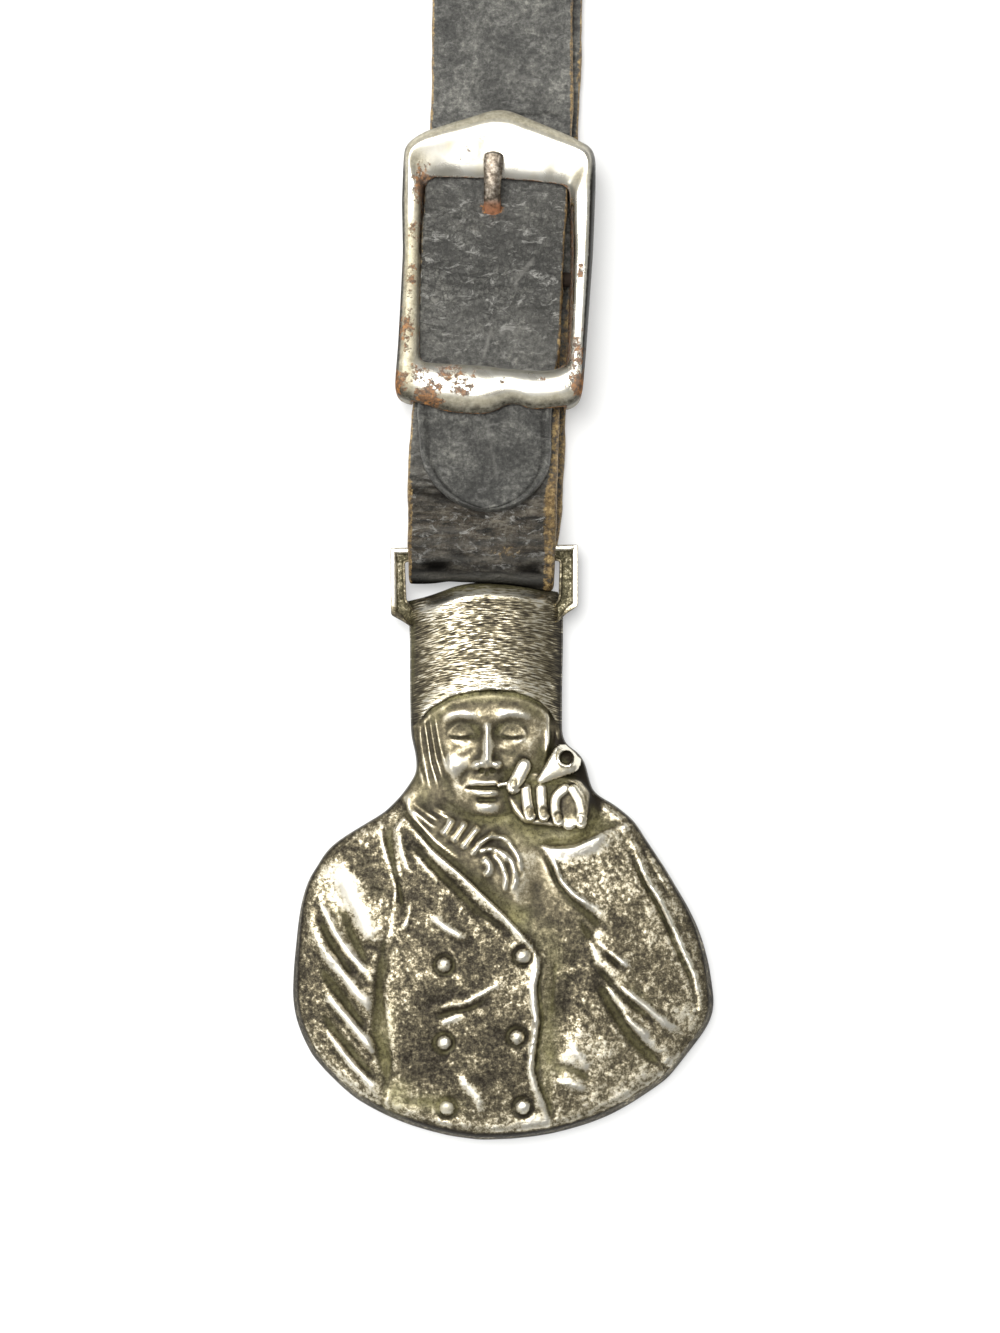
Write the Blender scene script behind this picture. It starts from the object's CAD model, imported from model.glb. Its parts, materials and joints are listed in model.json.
import json
import math
from functools import partial

import bmesh
import bpy
import numpy as np
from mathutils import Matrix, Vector


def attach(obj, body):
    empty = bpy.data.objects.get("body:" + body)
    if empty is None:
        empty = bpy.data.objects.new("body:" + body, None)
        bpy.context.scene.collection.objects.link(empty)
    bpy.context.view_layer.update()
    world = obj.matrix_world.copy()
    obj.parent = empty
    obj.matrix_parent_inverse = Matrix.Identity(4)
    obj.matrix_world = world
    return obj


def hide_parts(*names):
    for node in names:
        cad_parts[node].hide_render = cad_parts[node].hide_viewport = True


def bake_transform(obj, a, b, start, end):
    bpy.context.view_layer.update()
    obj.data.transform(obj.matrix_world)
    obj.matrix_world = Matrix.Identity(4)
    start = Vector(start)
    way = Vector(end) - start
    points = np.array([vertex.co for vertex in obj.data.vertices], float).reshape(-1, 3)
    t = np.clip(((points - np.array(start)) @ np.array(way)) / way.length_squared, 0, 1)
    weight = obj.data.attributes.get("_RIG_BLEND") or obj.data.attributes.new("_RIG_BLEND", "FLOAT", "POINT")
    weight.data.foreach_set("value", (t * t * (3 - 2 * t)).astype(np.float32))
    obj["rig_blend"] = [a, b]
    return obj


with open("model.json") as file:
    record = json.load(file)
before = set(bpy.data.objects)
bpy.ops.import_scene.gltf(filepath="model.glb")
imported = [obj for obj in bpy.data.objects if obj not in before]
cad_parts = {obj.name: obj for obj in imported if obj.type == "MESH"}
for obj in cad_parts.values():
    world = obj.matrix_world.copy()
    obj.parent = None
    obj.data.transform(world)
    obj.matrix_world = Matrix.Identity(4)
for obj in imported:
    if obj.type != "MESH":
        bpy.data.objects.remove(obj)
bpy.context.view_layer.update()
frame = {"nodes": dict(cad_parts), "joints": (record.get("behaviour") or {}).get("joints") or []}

# Pocket watch fob lying on its back. Shapes are worked out in millimetres and stored in metres.
MM = 0.001
joints = {joint["name"]: joint for joint in frame["joints"]}
loop_bar = Vector(joints["medallion_swing"]["pos_m"]) / MM
bend_line = Vector(joints["strap_bend"]["pos_m"]) / MM
STRAP_LEAN = math.radians(2.4)

# Sizes of the CAD that the shapes here follow, in millimetres
STRAP_WIDTH = 12.5
NECK_WIDTH = 8.0
BAR_PLACE = 24.4
BAR_HEIGHT = 2.85
HOLE_PLACE = 30.35
TONGUE_HALF_WIDTH = 5.75
BUST_WIDTH = 36.9
BUST_WIDTH_PX = 421
PHOTO_SCALE = BUST_WIDTH / BUST_WIDTH_PX

# Camera over the fob: tilted a little, its foot a little below the picture's middle
CAMERA_DISTANCE = 260
CAMERA_TILT = math.radians(2.9)
CAMERA_PX_PER_MM = 11.32
IMAGE_WIDTH_PX = 1000
IMAGE_HEIGHT_PX = 1333
SENSOR = 36
CAMERA_TARGET = (-0.19, -39.01)


# Helpers


def seen_at(x_px, y_px, height):
    """Row-frame millimetres of a pixel of the photograph on a level of a given height."""
    reach = CAMERA_PX_PER_MM * CAMERA_DISTANCE
    right = (np.asarray(x_px, float) - IMAGE_WIDTH_PX / 2) / reach
    up = (IMAGE_HEIGHT_PX / 2 - np.asarray(y_px, float)) / reach
    sine, cosine = math.sin(CAMERA_TILT), math.cos(CAMERA_TILT)
    step_y = up * cosine + sine
    step_z = up * sine - cosine
    far = (height - CAMERA_DISTANCE * cosine) / step_z
    x = CAMERA_TARGET[0] + right * far
    y = CAMERA_TARGET[1] - CAMERA_DISTANCE * sine + step_y * far
    return np.stack([x, y, height + 0 * x], -1)


def smooth_step(value, low, high):
    """0 below low, 1 above high, and an even rise between them."""
    share = np.clip((value - low) / (high - low), 0, 1)
    return share * share * (3 - 2 * share)


def bell(value, half_width):
    """1 at zero, falling evenly to nothing beyond the half width."""
    return np.exp(-((value / half_width) ** 2) * 1.6)


def run_along(points):
    """Distance of each point from the start of a line, by its first two numbers."""
    runs = np.linalg.norm(np.diff(points[:, :2], axis=0), axis=1)
    return np.concatenate([[0], np.cumsum(runs)])


def at_runs(points, places):
    """Points of a line at distances from its start."""
    reach = run_along(points)
    return np.stack([np.interp(places, reach, column) for column in points.T], 1)


def dense_line(points, step):
    """Points along a line at about an even step, with its ends."""
    points = np.asarray(points, float)
    length = run_along(points)[-1]
    return at_runs(points, np.linspace(0, length, max(int(round(length / step)), 2) + 1))


def eased(points, rounds, closed=False):
    """Points with their corners eased by repeated averaging; open ends stay."""
    points = points.copy()
    for _ in range(rounds):
        if closed:
            points = (np.roll(points, 1, 0) + 2 * points + np.roll(points, -1, 0)) / 4
        else:
            points[1:-1] = (points[:-2] + 2 * points[1:-1] + points[2:]) / 4
    return points


def ripple(x, y, size, seed, z=0.0):
    """Uneven surface of about -1 to 1 whose bumps are about one size wide."""
    waves = 14
    draw = np.random.default_rng(seed)
    total = np.zeros(np.shape(x))
    for _ in range(waves):
        angle = draw.uniform(0, 2 * math.pi)
        pitch = size * draw.uniform(0.7, 1.8)
        tilt = draw.uniform(-1, 1)
        phase = draw.uniform(0, 2 * math.pi)
        along = x * math.cos(angle) + y * math.sin(angle) + tilt * z
        total += np.sin(along * 2 * math.pi / pitch + phase)
    return total / math.sqrt(waves / 2) / 2


def deselect():
    """Leave edit mode and select nothing."""
    if bpy.context.object and bpy.context.object.mode != "OBJECT":
        bpy.ops.object.mode_set(mode="OBJECT")
    bpy.ops.object.select_all(action="DESELECT")


def named(name):
    """Name the object that was just added, and its mesh."""
    piece = bpy.context.object
    piece.name = name
    piece.data.name = name
    return piece


def grid(name, columns, rows):
    """Flat grid of points, with each point's column and row."""
    deselect()
    bpy.ops.mesh.primitive_grid_add(x_subdivisions=columns - 1, y_subdivisions=rows - 1, size=2)
    piece = named(name)
    flat = np.empty(len(piece.data.vertices) * 3)
    piece.data.vertices.foreach_get("co", flat)
    flat = flat.reshape(-1, 3)
    column = np.rint((flat[:, 0] + 1) / 2 * (columns - 1)).astype(int)
    row = np.rint((flat[:, 1] + 1) / 2 * (rows - 1)).astype(int)
    return piece, column, row


def place_points(piece, points_mm):
    """Move a piece's points to places in millimetres."""
    piece.data.vertices.foreach_set("co", (points_mm * MM).astype(np.float32).ravel())
    piece.data.update()


def store(piece, name, values):
    """Keep a number for each point, for the material to read."""
    layer = piece.data.attributes.get(name) or piece.data.attributes.new(name, "FLOAT", "POINT")
    layer.data.foreach_set("value", np.asarray(values, np.float32))


def close_up(piece, fill_ends=False):
    """Merge the seam, cap open ends, turn the faces outwards and shade smooth."""
    deselect()
    piece.select_set(True)
    bpy.context.view_layer.objects.active = piece
    bpy.ops.object.mode_set(mode="EDIT")
    bpy.ops.mesh.select_all(action="SELECT")
    bpy.ops.mesh.remove_doubles(threshold=1e-7)
    if fill_ends:
        bpy.ops.mesh.select_all(action="DESELECT")
        bpy.ops.mesh.select_non_manifold(extend=False)
        bpy.ops.mesh.fill_holes(sides=0)
    bpy.ops.mesh.select_all(action="SELECT")
    bpy.ops.mesh.normals_make_consistent(inside=False)
    bpy.ops.object.mode_set(mode="OBJECT")
    bpy.ops.object.shade_smooth_by_angle(angle=math.radians(50))


def strap_to_row(across, along, height):
    """Row-frame millimetres of a place given across and along the leaning strap."""
    x = across * math.cos(STRAP_LEAN) + along * math.sin(STRAP_LEAN) + loop_bar.x
    y = along * math.cos(STRAP_LEAN) - across * math.sin(STRAP_LEAN) + loop_bar.y
    return np.stack([x, y, height + 0 * x], 1)


def row_to_strap(places):
    """Places across and along the leaning strap of row-frame millimetres."""
    x, y = places[..., 0] - loop_bar.x, places[..., 1] - loop_bar.y
    across = x * math.cos(STRAP_LEAN) - y * math.sin(STRAP_LEAN)
    along = y * math.cos(STRAP_LEAN) + x * math.sin(STRAP_LEAN)
    return across, along


def lattice(u, v, seed):
    """Smooth random values from 0 to 1, one draw for each whole step of u and v."""
    size = 128
    draws = np.random.default_rng(seed).random((size, size))
    low_u, low_v = np.floor(u).astype(int), np.floor(v).astype(int)
    part_u, part_v = u - low_u, v - low_v
    part_u, part_v = part_u ** 2 * (3 - 2 * part_u), part_v ** 2 * (3 - 2 * part_v)
    near = [[draws[(low_u + a) % size, (low_v + b) % size] for b in (0, 1)] for a in (0, 1)]
    first = near[0][0] * (1 - part_v) + near[0][1] * part_v
    second = near[1][0] * (1 - part_v) + near[1][1] * part_v
    return first * (1 - part_u) + second * part_u


# Materials


def linear(colour):
    """Linear colour of an sRGB hex value."""
    parts = np.array([int(colour[index:index + 2], 16) for index in (1, 3, 5)]) / 255
    return (*np.where(parts <= 0.04045, parts / 12.92, ((parts + 0.055) / 1.055) ** 2.4), 1)


def node(tree, kind, inputs=(), out=0, stops=None, **settings):
    """Add a node with its inputs, colour stops and settings, and give one of its outputs.

    Inputs are values or outputs of other nodes: a list in order, or a dictionary by name or number.
    """
    made = tree.nodes.new("ShaderNode" + kind)
    for key, value in settings.items():
        setattr(made, key, value)
    for key, value in inputs.items() if isinstance(inputs, dict) else enumerate(inputs):
        if isinstance(value, bpy.types.NodeSocket):
            tree.links.new(value, made.inputs[key])
        else:
            made.inputs[key].default_value = value
    if stops:
        ramp = made.color_ramp
        while len(ramp.elements) < len(stops):
            ramp.elements.new(0.5)
        for element, (place, colour) in zip(ramp.elements, stops):
            element.position = place
            element.color = linear(colour)
    return made.outputs[out] if made.outputs else None


def empty_tree(owner):
    """Clear the nodes of a material or world, and give the function that adds new ones."""
    owner.use_nodes = True
    owner.node_tree.nodes.clear()
    return partial(node, owner.node_tree)


def new_material(name):
    material = bpy.data.materials.new(name)
    return material, empty_tree(material)


def finish_material(add, look, heights, strength, distance):
    """Add a bump whose distance is in millimetres, the shader with its look, and the output."""
    bump = add("Bump", {"Height": heights, "Strength": strength, "Distance": distance * MM})
    shader = add("BsdfPrincipled", {**look, "Normal": bump})
    add("OutputMaterial", [shader])


def struck_silver_plate():
    """Silver-plated brass, die-struck and decades old: dark sulphide in the hollows, pitted
    mid tones, and bright metal where pockets have polished the high folds."""
    material, add = new_material("struck_silver_plate")
    place = add("TexCoord", out="Object")
    high, green, pitted, fur, fur_along, fur_row = (
        add("Attribute", out="Fac", attribute_name=name)
        for name in ("high", "green", "pitted", "fur", "fur_along", "fur_row"))
    speck = add("TexNoise", {"Vector": place, "Scale": 1 / (0.36 * MM), "Detail": 4, "Roughness": 0.8})
    broad = add("TexNoise", {"Vector": place, "Scale": 1 / (2.6 * MM), "Detail": 4, "Roughness": 0.65})
    # Strokes of fur are about 1.2 mm long and 0.2 mm wide
    fur_place = add("CombineXYZ", {"X": fur_along, "Y": fur_row})
    stroke_noise = add("TexNoise", {
        "Vector": fur_place, "Scale": 1.0, "Detail": 1, "Roughness": 0.5, "Distortion": 0.12})
    shares = []
    for noise, strength, mask in ((speck, 2.6, pitted), (broad, 1.3, pitted), (stroke_noise, 4.2, fur)):
        uneven = add("Math", [noise, strength, -strength / 2], operation="MULTIPLY_ADD")
        shares.append(add("Math", [uneven, mask], operation="MULTIPLY"))
    pits = add("Math", shares[:2], operation="ADD")
    marks = add("Math", [pits, shares[2]], operation="ADD")
    worn = add("Math", [high, marks], operation="ADD", use_clamp=True)
    colour = add("ValToRGB", {"Fac": worn}, stops=[
        (0.0, "#241f17"), (0.25, "#423c2f"), (0.45, "#675f4b"), (0.58, "#978d74"), (0.72, "#d6cdb5"),
        (1.0, "#f1ecdd")])
    green_noise = add("MapRange", [speck, 0.36, 0.6, 0.25, 1.0])
    green_part = add("Math", [green, green_noise], operation="MULTIPLY", use_clamp=True)
    crust = add("ValToRGB", {"Fac": broad}, stops=[(0.35, "#6f6a48"), (0.55, "#9c9569"), (0.7, "#b8b089")])
    tinted = add("Mix", {0: green_part, 6: colour, 7: crust}, out=2, data_type="RGBA")
    rough = add("MapRange", [worn, 0.3, 0.9, 0.6, 0.3])
    metal = add("MapRange", [worn, 0.0, 0.55, 0.1, 1.0])
    clean = add("Math", [1.0, green_part], operation="SUBTRACT")
    metallic = add("Math", [metal, clean], operation="MULTIPLY")
    pit_height = add("Math", [speck, pitted], operation="MULTIPLY")
    fur_height = add("Math", [stroke_noise, fur], operation="MULTIPLY")
    heights = add("Math", [fur_height, 1.2, pit_height], operation="MULTIPLY_ADD")
    sheen = add("MapRange", [worn, 0.0, 0.5, 0.1, 0.5])
    look = {"Base Color": tinted, "Roughness": rough, "Metallic": metallic, "Specular IOR Level": sheen}
    finish_material(add, look, heights, 0.6, 0.16)
    return material


def nickel_plated_steel():
    """Stamped steel under nickel: bright and slightly warm, dulled in places, with brown
    rust where the plating has gone at the corners and inner edges."""
    material, add = new_material("nickel_plated_steel")
    place = add("TexCoord", out="Object")
    rust, tarnish, dull = (
        add("Attribute", out="Fac", attribute_name=name) for name in ("rust", "tarnish", "dull"))
    spots = add("TexNoise", {"Vector": place, "Scale": 1 / (0.55 * MM), "Detail": 6, "Roughness": 0.75})
    cloud = add("TexNoise", {"Vector": place, "Scale": 1 / (3.0 * MM), "Detail": 3, "Roughness": 0.5})
    spread = add("Math", [spots, 2.2, -1.65], operation="MULTIPLY_ADD")
    edge = add("Math", [rust, spread], operation="ADD")
    rusty = add("MapRange", [edge, 0.0, 0.22, 0.0, 0.92], interpolation_type="SMOOTHSTEP")
    plate = add("ValToRGB", {"Fac": cloud}, stops=[(0.3, "#d9d3c2"), (0.55, "#ece8dc"), (0.75, "#c9c0a6")])
    flakes = add("TexNoise", {"Vector": place, "Scale": 1 / (0.4 * MM), "Detail": 4, "Roughness": 0.7})
    brown = add("ValToRGB", {"Fac": flakes}, stops=[(0.38, "#453223"), (0.5, "#73533a"), (0.62, "#a8733f")])
    patchy = add("MapRange", [spots, 0.36, 0.62, 1.3, 1.0])
    tarnish = add("Math", [tarnish, patchy], operation="MULTIPLY", use_clamp=True)
    stain = add("ValToRGB", {"Fac": spots}, stops=[(0.36, "#857b60"), (0.5, "#aca387"), (0.64, "#cdc6ad")])
    stained = add("Mix", {0: dull, 6: plate, 7: stain}, out=2, data_type="RGBA")
    tarnished = add("Mix", {0: tarnish, 6: stained, 7: linear("#1f1d19")}, out=2, data_type="RGBA")
    colour = add("Mix", {0: rusty, 6: tarnished, 7: brown}, out=2, data_type="RGBA")
    metal = add("Math", [1.0, rusty], operation="SUBTRACT")
    sheen = add("MapRange", [cloud, 0.3, 0.7, 0.2, 0.36])
    dulled = add("Mix", {0: dull, 2: sheen, 3: 0.5})
    rough = add("Mix", {0: rusty, 2: dulled, 3: 0.82})
    bump = add("Math", [spots, rusty], operation="MULTIPLY")
    clean = add("Math", [dull, -0.6, metal], operation="MULTIPLY_ADD")
    plated = add("Math", [tarnish, -0.95, clean], operation="MULTIPLY_ADD", use_clamp=True)
    shine = add("Math", [tarnish, -0.48, 0.5], operation="MULTIPLY_ADD")
    look = {"Base Color": colour, "Roughness": rough, "Metallic": plated, "Specular IOR Level": shine}
    finish_material(add, look, bump, 0.6, 0.15)
    return material


def rusted_steel_wire(name, least_rust, rust_colour):
    """Steel wire whose nickel has mostly worn off: grey-brown metal, rusty low down."""
    material, add = new_material(name)
    place = add("TexCoord", out="Object")
    rust = add("Attribute", out="Fac", attribute_name="rust")
    spots = add("TexNoise", {"Vector": place, "Scale": 1 / (0.4 * MM), "Detail": 5, "Roughness": 0.7})
    steel = add("ValToRGB", {"Fac": spots}, stops=[(0.35, "#4f463d"), (0.5, "#857a6c"), (0.66, "#c4bcae")])
    spread = add("Math", [spots, 2.0, least_rust - 1.2], operation="MULTIPLY_ADD")
    rusty = add("Math", [rust, spread], operation="ADD", use_clamp=True)
    colour = add("Mix", {0: rusty, 6: steel, 7: linear(rust_colour)}, out=2, data_type="RGBA")
    metal = add("Math", [1.0, rusty], operation="SUBTRACT")
    rough = add("Math", [rusty, 0.5, 0.4], operation="MULTIPLY_ADD")
    finish_material(add, {"Base Color": colour, "Roughness": rough, "Metallic": metal}, spots, 0.5, 0.12)
    return material


def leather_cracks(add, place, cracked):
    """Share of the fine cracks in the dye, in bent cells 0.6 mm wide."""
    bend = add(
        "TexNoise", {"Vector": place, "Scale": 1 / (1.0 * MM), "Detail": 3, "Roughness": 0.6}, out="Color")
    moved = add("Mix", {0: 0.0016, 4: place, 5: bend}, out=1, data_type="VECTOR")
    crack = add("TexVoronoi", {"Vector": moved, "Scale": 1 / (0.6 * MM)}, feature="DISTANCE_TO_EDGE")
    line = add("MapRange", [crack, 0.0, 0.14, 0.7, 0.0])
    return add("Math", [line, cracked], operation="MULTIPLY", use_clamp=True)


def leather_creases(add, place, creased):
    """Shares of the creases across the strap: all of them, their black lines and pale flecks."""
    across = add("Mapping", {"Vector": place, "Scale": (0.42, 1.5, 1.0)})
    crease = add("TexNoise", {"Vector": across, "Scale": 1 / (0.8 * MM), "Detail": 5, "Roughness": 0.7})
    black = add("MapRange", [crease, 0.38, 0.52, 0.85, 0.0])
    fleck = add("MapRange", [crease, 0.54, 0.66, 0.0, 0.75])
    return (
        add("Math", [crease, creased], operation="MULTIPLY"),
        add("Math", [black, creased], operation="MULTIPLY", use_clamp=True),
        add("Math", [fleck, creased], operation="MULTIPLY", use_clamp=True))


def leather_wrinkles(add, place, cracked):
    """Shares of the wrinkles about 1 mm apart from bending through the buckle, and of their glints."""
    flatter = add("Mapping", {"Vector": place, "Scale": (0.75, 1.35, 1.0)})
    wrinkle = add("TexNoise", {
        "Vector": flatter, "Scale": 1 / (1.1 * MM), "Detail": 6, "Roughness": 0.78, "Distortion": 0.7})
    glint = add("MapRange", [wrinkle, 0.55, 0.63, 0.0, 0.9])
    return (
        add("Math", [wrinkle, cracked], operation="MULTIPLY"),
        add("Math", [glint, cracked], operation="MULTIPLY", use_clamp=True))


def dyed_cowhide():
    """Vegetable-tanned cowhide dyed dark grey: fine crackle in the dye, dull sheen, and tan
    leather showing where edges and folds are rubbed."""
    material, add = new_material("dyed_cowhide")
    place = add("TexCoord", out="Object")
    worn, dark, rust, pale, cracked, creased = (
        add("Attribute", out="Fac", attribute_name=name)
        for name in ("worn", "dark", "rust", "pale", "cracked", "creased"))
    grain = add("TexNoise", {"Vector": place, "Scale": 1 / (0.45 * MM), "Detail": 6, "Roughness": 0.75})
    cloud = add("TexNoise", {"Vector": place, "Scale": 1 / (4.0 * MM), "Detail": 4, "Roughness": 0.6})
    crack_share = leather_cracks(add, place, cracked)
    crease_share, crease_black, crease_fleck = leather_creases(add, place, creased)
    wrinkle_share, glint_share = leather_wrinkles(add, place, cracked)
    # Dye, then what lies over it
    tone = add("Math", [cloud, 0.6, grain], operation="MULTIPLY_ADD")
    colour = add("ValToRGB", {"Fac": tone}, stops=[
        (0.55, "#353532"), (0.75, "#53524e"), (0.88, "#706f69"), (1.0, "#9a988f")])
    brown_share = add("Math", [crease_share, 0.7], operation="MULTIPLY", use_clamp=True)
    for share, shade in [
            (crack_share, "#232320"), (brown_share, "#6b5a40"), (crease_black, "#171614"),
            (crease_fleck, "#9b9484"), (glint_share, "#bbb9b2"), (dark, "#0b0a09"), (pale, "#8f8d86")]:
        colour = add("Mix", {0: share, 6: colour, 7: linear(shade)}, out=2, data_type="RGBA")
    # Tan leather where the dye is rubbed off, in grains
    tan = add("ValToRGB", {"Fac": grain}, stops=[(0.32, "#4a3a24"), (0.5, "#8a7048"), (0.66, "#cbb07b")])
    scatter = add("Math", [grain, 2.2, -1.25], operation="MULTIPLY_ADD")
    held = add("MapRange", [worn, 0.05, 0.35, -0.7, 0.0])
    kept = add("Math", [scatter, held], operation="ADD")
    rubbed_sum = add("Math", [worn, kept], operation="ADD")
    rubbed = add("MapRange", [rubbed_sum, 0.0, 0.5, 0.0, 1.0], interpolation_type="SMOOTHSTEP")
    edged = add("Mix", {0: rubbed, 6: colour, 7: tan}, out=2, data_type="RGBA")
    # Rust from the prong, round its hole
    rust_scatter = add("Math", [grain, 2.6, -1.95], operation="MULTIPLY_ADD")
    rust_sum = add("Math", [rust, 1.6, rust_scatter], operation="MULTIPLY_ADD")
    rusty = add("MapRange", [rust_sum, 0.0, 0.4, 0.0, 1.0])
    red_brown = add("ValToRGB", {"Fac": grain}, stops=[
        (0.43, "#4d331b"), (0.5, "#8a5427"), (0.58, "#c2803c")])
    stained = add("Mix", {0: rusty, 6: edged, 7: red_brown}, out=2, data_type="RGBA")
    grained = add("MapRange", [grain, 0.3, 0.7, 0.62, 0.36])
    rough = add("Math", [dark, 0.4, grained], operation="MULTIPLY_ADD", use_clamp=True)
    cracks = add("Math", [crack_share, -0.4, grain], operation="MULTIPLY_ADD")
    wrinkled = add("Math", [wrinkle_share, 3.0, cracks], operation="MULTIPLY_ADD")
    heights = add("Math", [crease_share, 2.4, wrinkled], operation="MULTIPLY_ADD")
    shine = add("Math", [dark, -0.5, 0.5], operation="MULTIPLY_ADD", use_clamp=True)
    finish_material(
        add, {"Base Color": stained, "Roughness": rough, "Specular IOR Level": shine}, heights, 1.0, 0.26)
    return material


def waxed_linen():
    """Waxed linen thread: brown, slightly shiny, with the lines of its twist."""
    material, add = new_material("waxed_linen")
    place = add("TexCoord", out="Object")
    fibre = add("TexNoise", {"Vector": place, "Scale": 1 / (0.12 * MM), "Detail": 3})
    colour = add("ValToRGB", {"Fac": fibre}, stops=[(0.3, "#2e2820"), (0.7, "#5a4d3c")])
    finish_material(add, {"Base Color": colour, "Roughness": 0.6}, fibre, 0.5, 0.05)
    return material


def pale_floor():
    """Matt white sweep: white to the camera, with the object's soft shadow kept."""
    material, add = new_material("pale_floor")
    seen = add("LightPath", out="Is Camera Ray")
    share = add("Math", [seen, 0.35], operation="MULTIPLY")
    matt = add("BsdfDiffuse", {"Color": linear("#f2f2f0")})
    glow = add("Emission", {"Color": linear("#ffffff"), "Strength": 1.0})
    mixed = add("MixShader", [share, matt, glow])
    add("OutputMaterial", [mixed])
    return material


SILVER = struck_silver_plate()
NICKEL = nickel_plated_steel()
WIRE = rusted_steel_wire("rusted_steel_wire", 0, "#9a5a2c")
BAR_WIRE = rusted_steel_wire("brown_rusted_bar", 1.3, "#2e2218")
COWHIDE = dyed_cowhide()
LINEN = waxed_linen()


def dress(piece, material, body, slot, *nodes):
    """Give a finished piece its material, body and slot, and hide the nodes it stands for."""
    piece.data.materials.clear()
    piece.data.materials.append(material)
    if body:
        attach(piece, body)
    if nodes:
        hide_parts(*nodes)


# Outline of the medallion and the grid of its relief

# Outline of the bust in pixels of the photograph
top_px = [
    (408, 601), (425, 597), (440, 592), (455, 586), (470, 583), (485, 582), (500, 583), (520, 585),
    (540, 588), (558, 592)]
left_px = [
    (408, 601), (410, 640), (410, 690), (411, 735), (416, 755), (417, 772), (409, 785), (400, 797),
    (385, 812), (370, 821), (350, 833), (335, 843), (325, 853), (318, 865), (310, 877), (305, 890),
    (301, 905), (298, 925), (296, 945), (294, 965), (293, 985), (293, 1000), (296, 1018), (302, 1035),
    (312, 1055), (325, 1070)]
right_px = [
    (558, 592), (563, 606), (563, 640), (562, 690), (562, 735), (566, 745), (578, 752), (585, 762),
    (588, 775), (592, 790), (600, 797), (612, 803), (625, 813), (635, 822), (645, 838), (655, 853),
    (665, 868), (675, 885), (687, 905), (697, 925), (704, 945), (709, 965), (712, 985), (714, 1000),
    (713, 1012), (709, 1023), (703, 1033), (694, 1045), (680, 1063)]
bottom_px = [
    (325, 1070), (340, 1085), (355, 1098), (372, 1108), (390, 1117), (410, 1125), (430, 1131), (450, 1136),
    (480, 1140), (510, 1139), (530, 1137), (550, 1134), (570, 1129), (590, 1123), (610, 1115), (630, 1104),
    (650, 1091), (668, 1078), (680, 1063)]

RELIEF_COLUMNS = 226
RELIEF_ROWS = 394
# Rows are closer on the hat, face and hand: share of all rows down to a pixel height
ROW_SHARES = [(0.0, 597), (0.30, 700), (0.64, 838), (1.0, 1067)]


def side_curve(table, heights):
    """Places down one side of the bust at shares of its height."""
    line = eased(dense_line(table, 1.0), 60)
    shares = (line[:, 1] - line[0, 1]) / (line[-1, 1] - line[0, 1])
    shares = np.maximum.accumulate(shares)
    return np.stack([np.interp(heights, shares, column) for column in line.T], 1)


def cross_curve(table, count):
    """Places across the top or bottom of the bust, evenly spread."""
    line = eased(dense_line(table, 1.0), 60)
    return dense_line(line, run_along(line)[-1] / (count - 1))[:count]


def relief_places():
    """Pixel places of the grid's points, fitted between the four sides of the outline."""
    rows = np.linspace(0, 1, RELIEF_ROWS)
    shares, heights = zip(*ROW_SHARES)
    level = np.interp(rows, shares, heights)
    level = (level - level[0]) / (level[-1] - level[0])
    left = side_curve(left_px, level)
    right = side_curve(right_px, level)
    top = cross_curve(top_px, RELIEF_COLUMNS)
    bottom = cross_curve(bottom_px, RELIEF_COLUMNS)
    u = np.linspace(0, 1, RELIEF_COLUMNS)[None, :, None]
    top_rise = top[None] - ((1 - u) * top[0] + u * top[-1])
    bottom_drop = bottom[None] - ((1 - u) * bottom[0] + u * bottom[-1])
    v = level[:, None, None]
    plain = (1 - u) * left[:, None, :] + u * right[:, None, :]
    return plain + (1 - v) ** 6 * top_rise + v ** 3 * bottom_drop


def ring_of(table):
    """Edge points of a grid table, once round."""
    return np.concatenate([table[0, :-1], table[:-1, -1], table[-1, :0:-1], table[:0:-1, 0]])


def inward(ring):
    """Unit direction into the outline at each of its points."""
    ahead = np.roll(ring, -3, 0) - np.roll(ring, 3, 0)
    normal = np.stack([-ahead[:, 1], ahead[:, 0]], 1)
    normal /= np.linalg.norm(normal, axis=1)[:, None]
    return eased(normal, 4, closed=True)


outline_grid = relief_places()
outline_ring = ring_of(outline_grid)
outline_inward = inward(outline_ring)
rim_rows, rim_columns = (ring_of(numbers) for numbers in np.indices((RELIEF_ROWS, RELIEF_COLUMNS)))
# The side wall shows from above only low down, most at the two lower corners
rim_inset_px = 1.6 + 3.6 * smooth_step(outline_ring[:, 1], 860, 1010)
rim_inset_px -= 1.4 * bell(outline_ring[:, 0] - 500, 90) * smooth_step(outline_ring[:, 1], 1050, 1090)


def distance_to(points, line):
    """Distance, signed side and share along of the nearest place on a polyline."""
    best = np.full(len(points), 1e9)
    side = np.zeros(len(points))
    share = np.zeros(len(points))
    count = len(line) - 1
    for index in range(count):
        start = line[index]
        run = line[index + 1] - start
        length2 = max(float(run @ run), 1e-9)
        away = points - start
        t = np.clip((away @ run) / length2, 0, 1)
        gap = away - t[:, None] * run
        distance = np.sqrt((gap ** 2).sum(1))
        nearer = distance < best
        best = np.where(nearer, distance, best)
        cross = run[0] * away[:, 1] - run[1] * away[:, 0]
        side = np.where(nearer, np.sign(cross), side)
        share = np.where(nearer, (index + t) / count, share)
    return best, side, share


def inside(points, loop):
    """True for points within a closed outline."""
    result = np.zeros(len(points), bool)
    x, y = points[:, 0], points[:, 1]
    for (x1, y1), (x2, y2) in zip(np.roll(loop, 1, 0), loop):
        if y1 != y2:
            result ^= ((y1 > y) != (y2 > y)) & (x < (x2 - x1) * (y - y1) / (y2 - y1) + x1)
    return result


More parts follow.
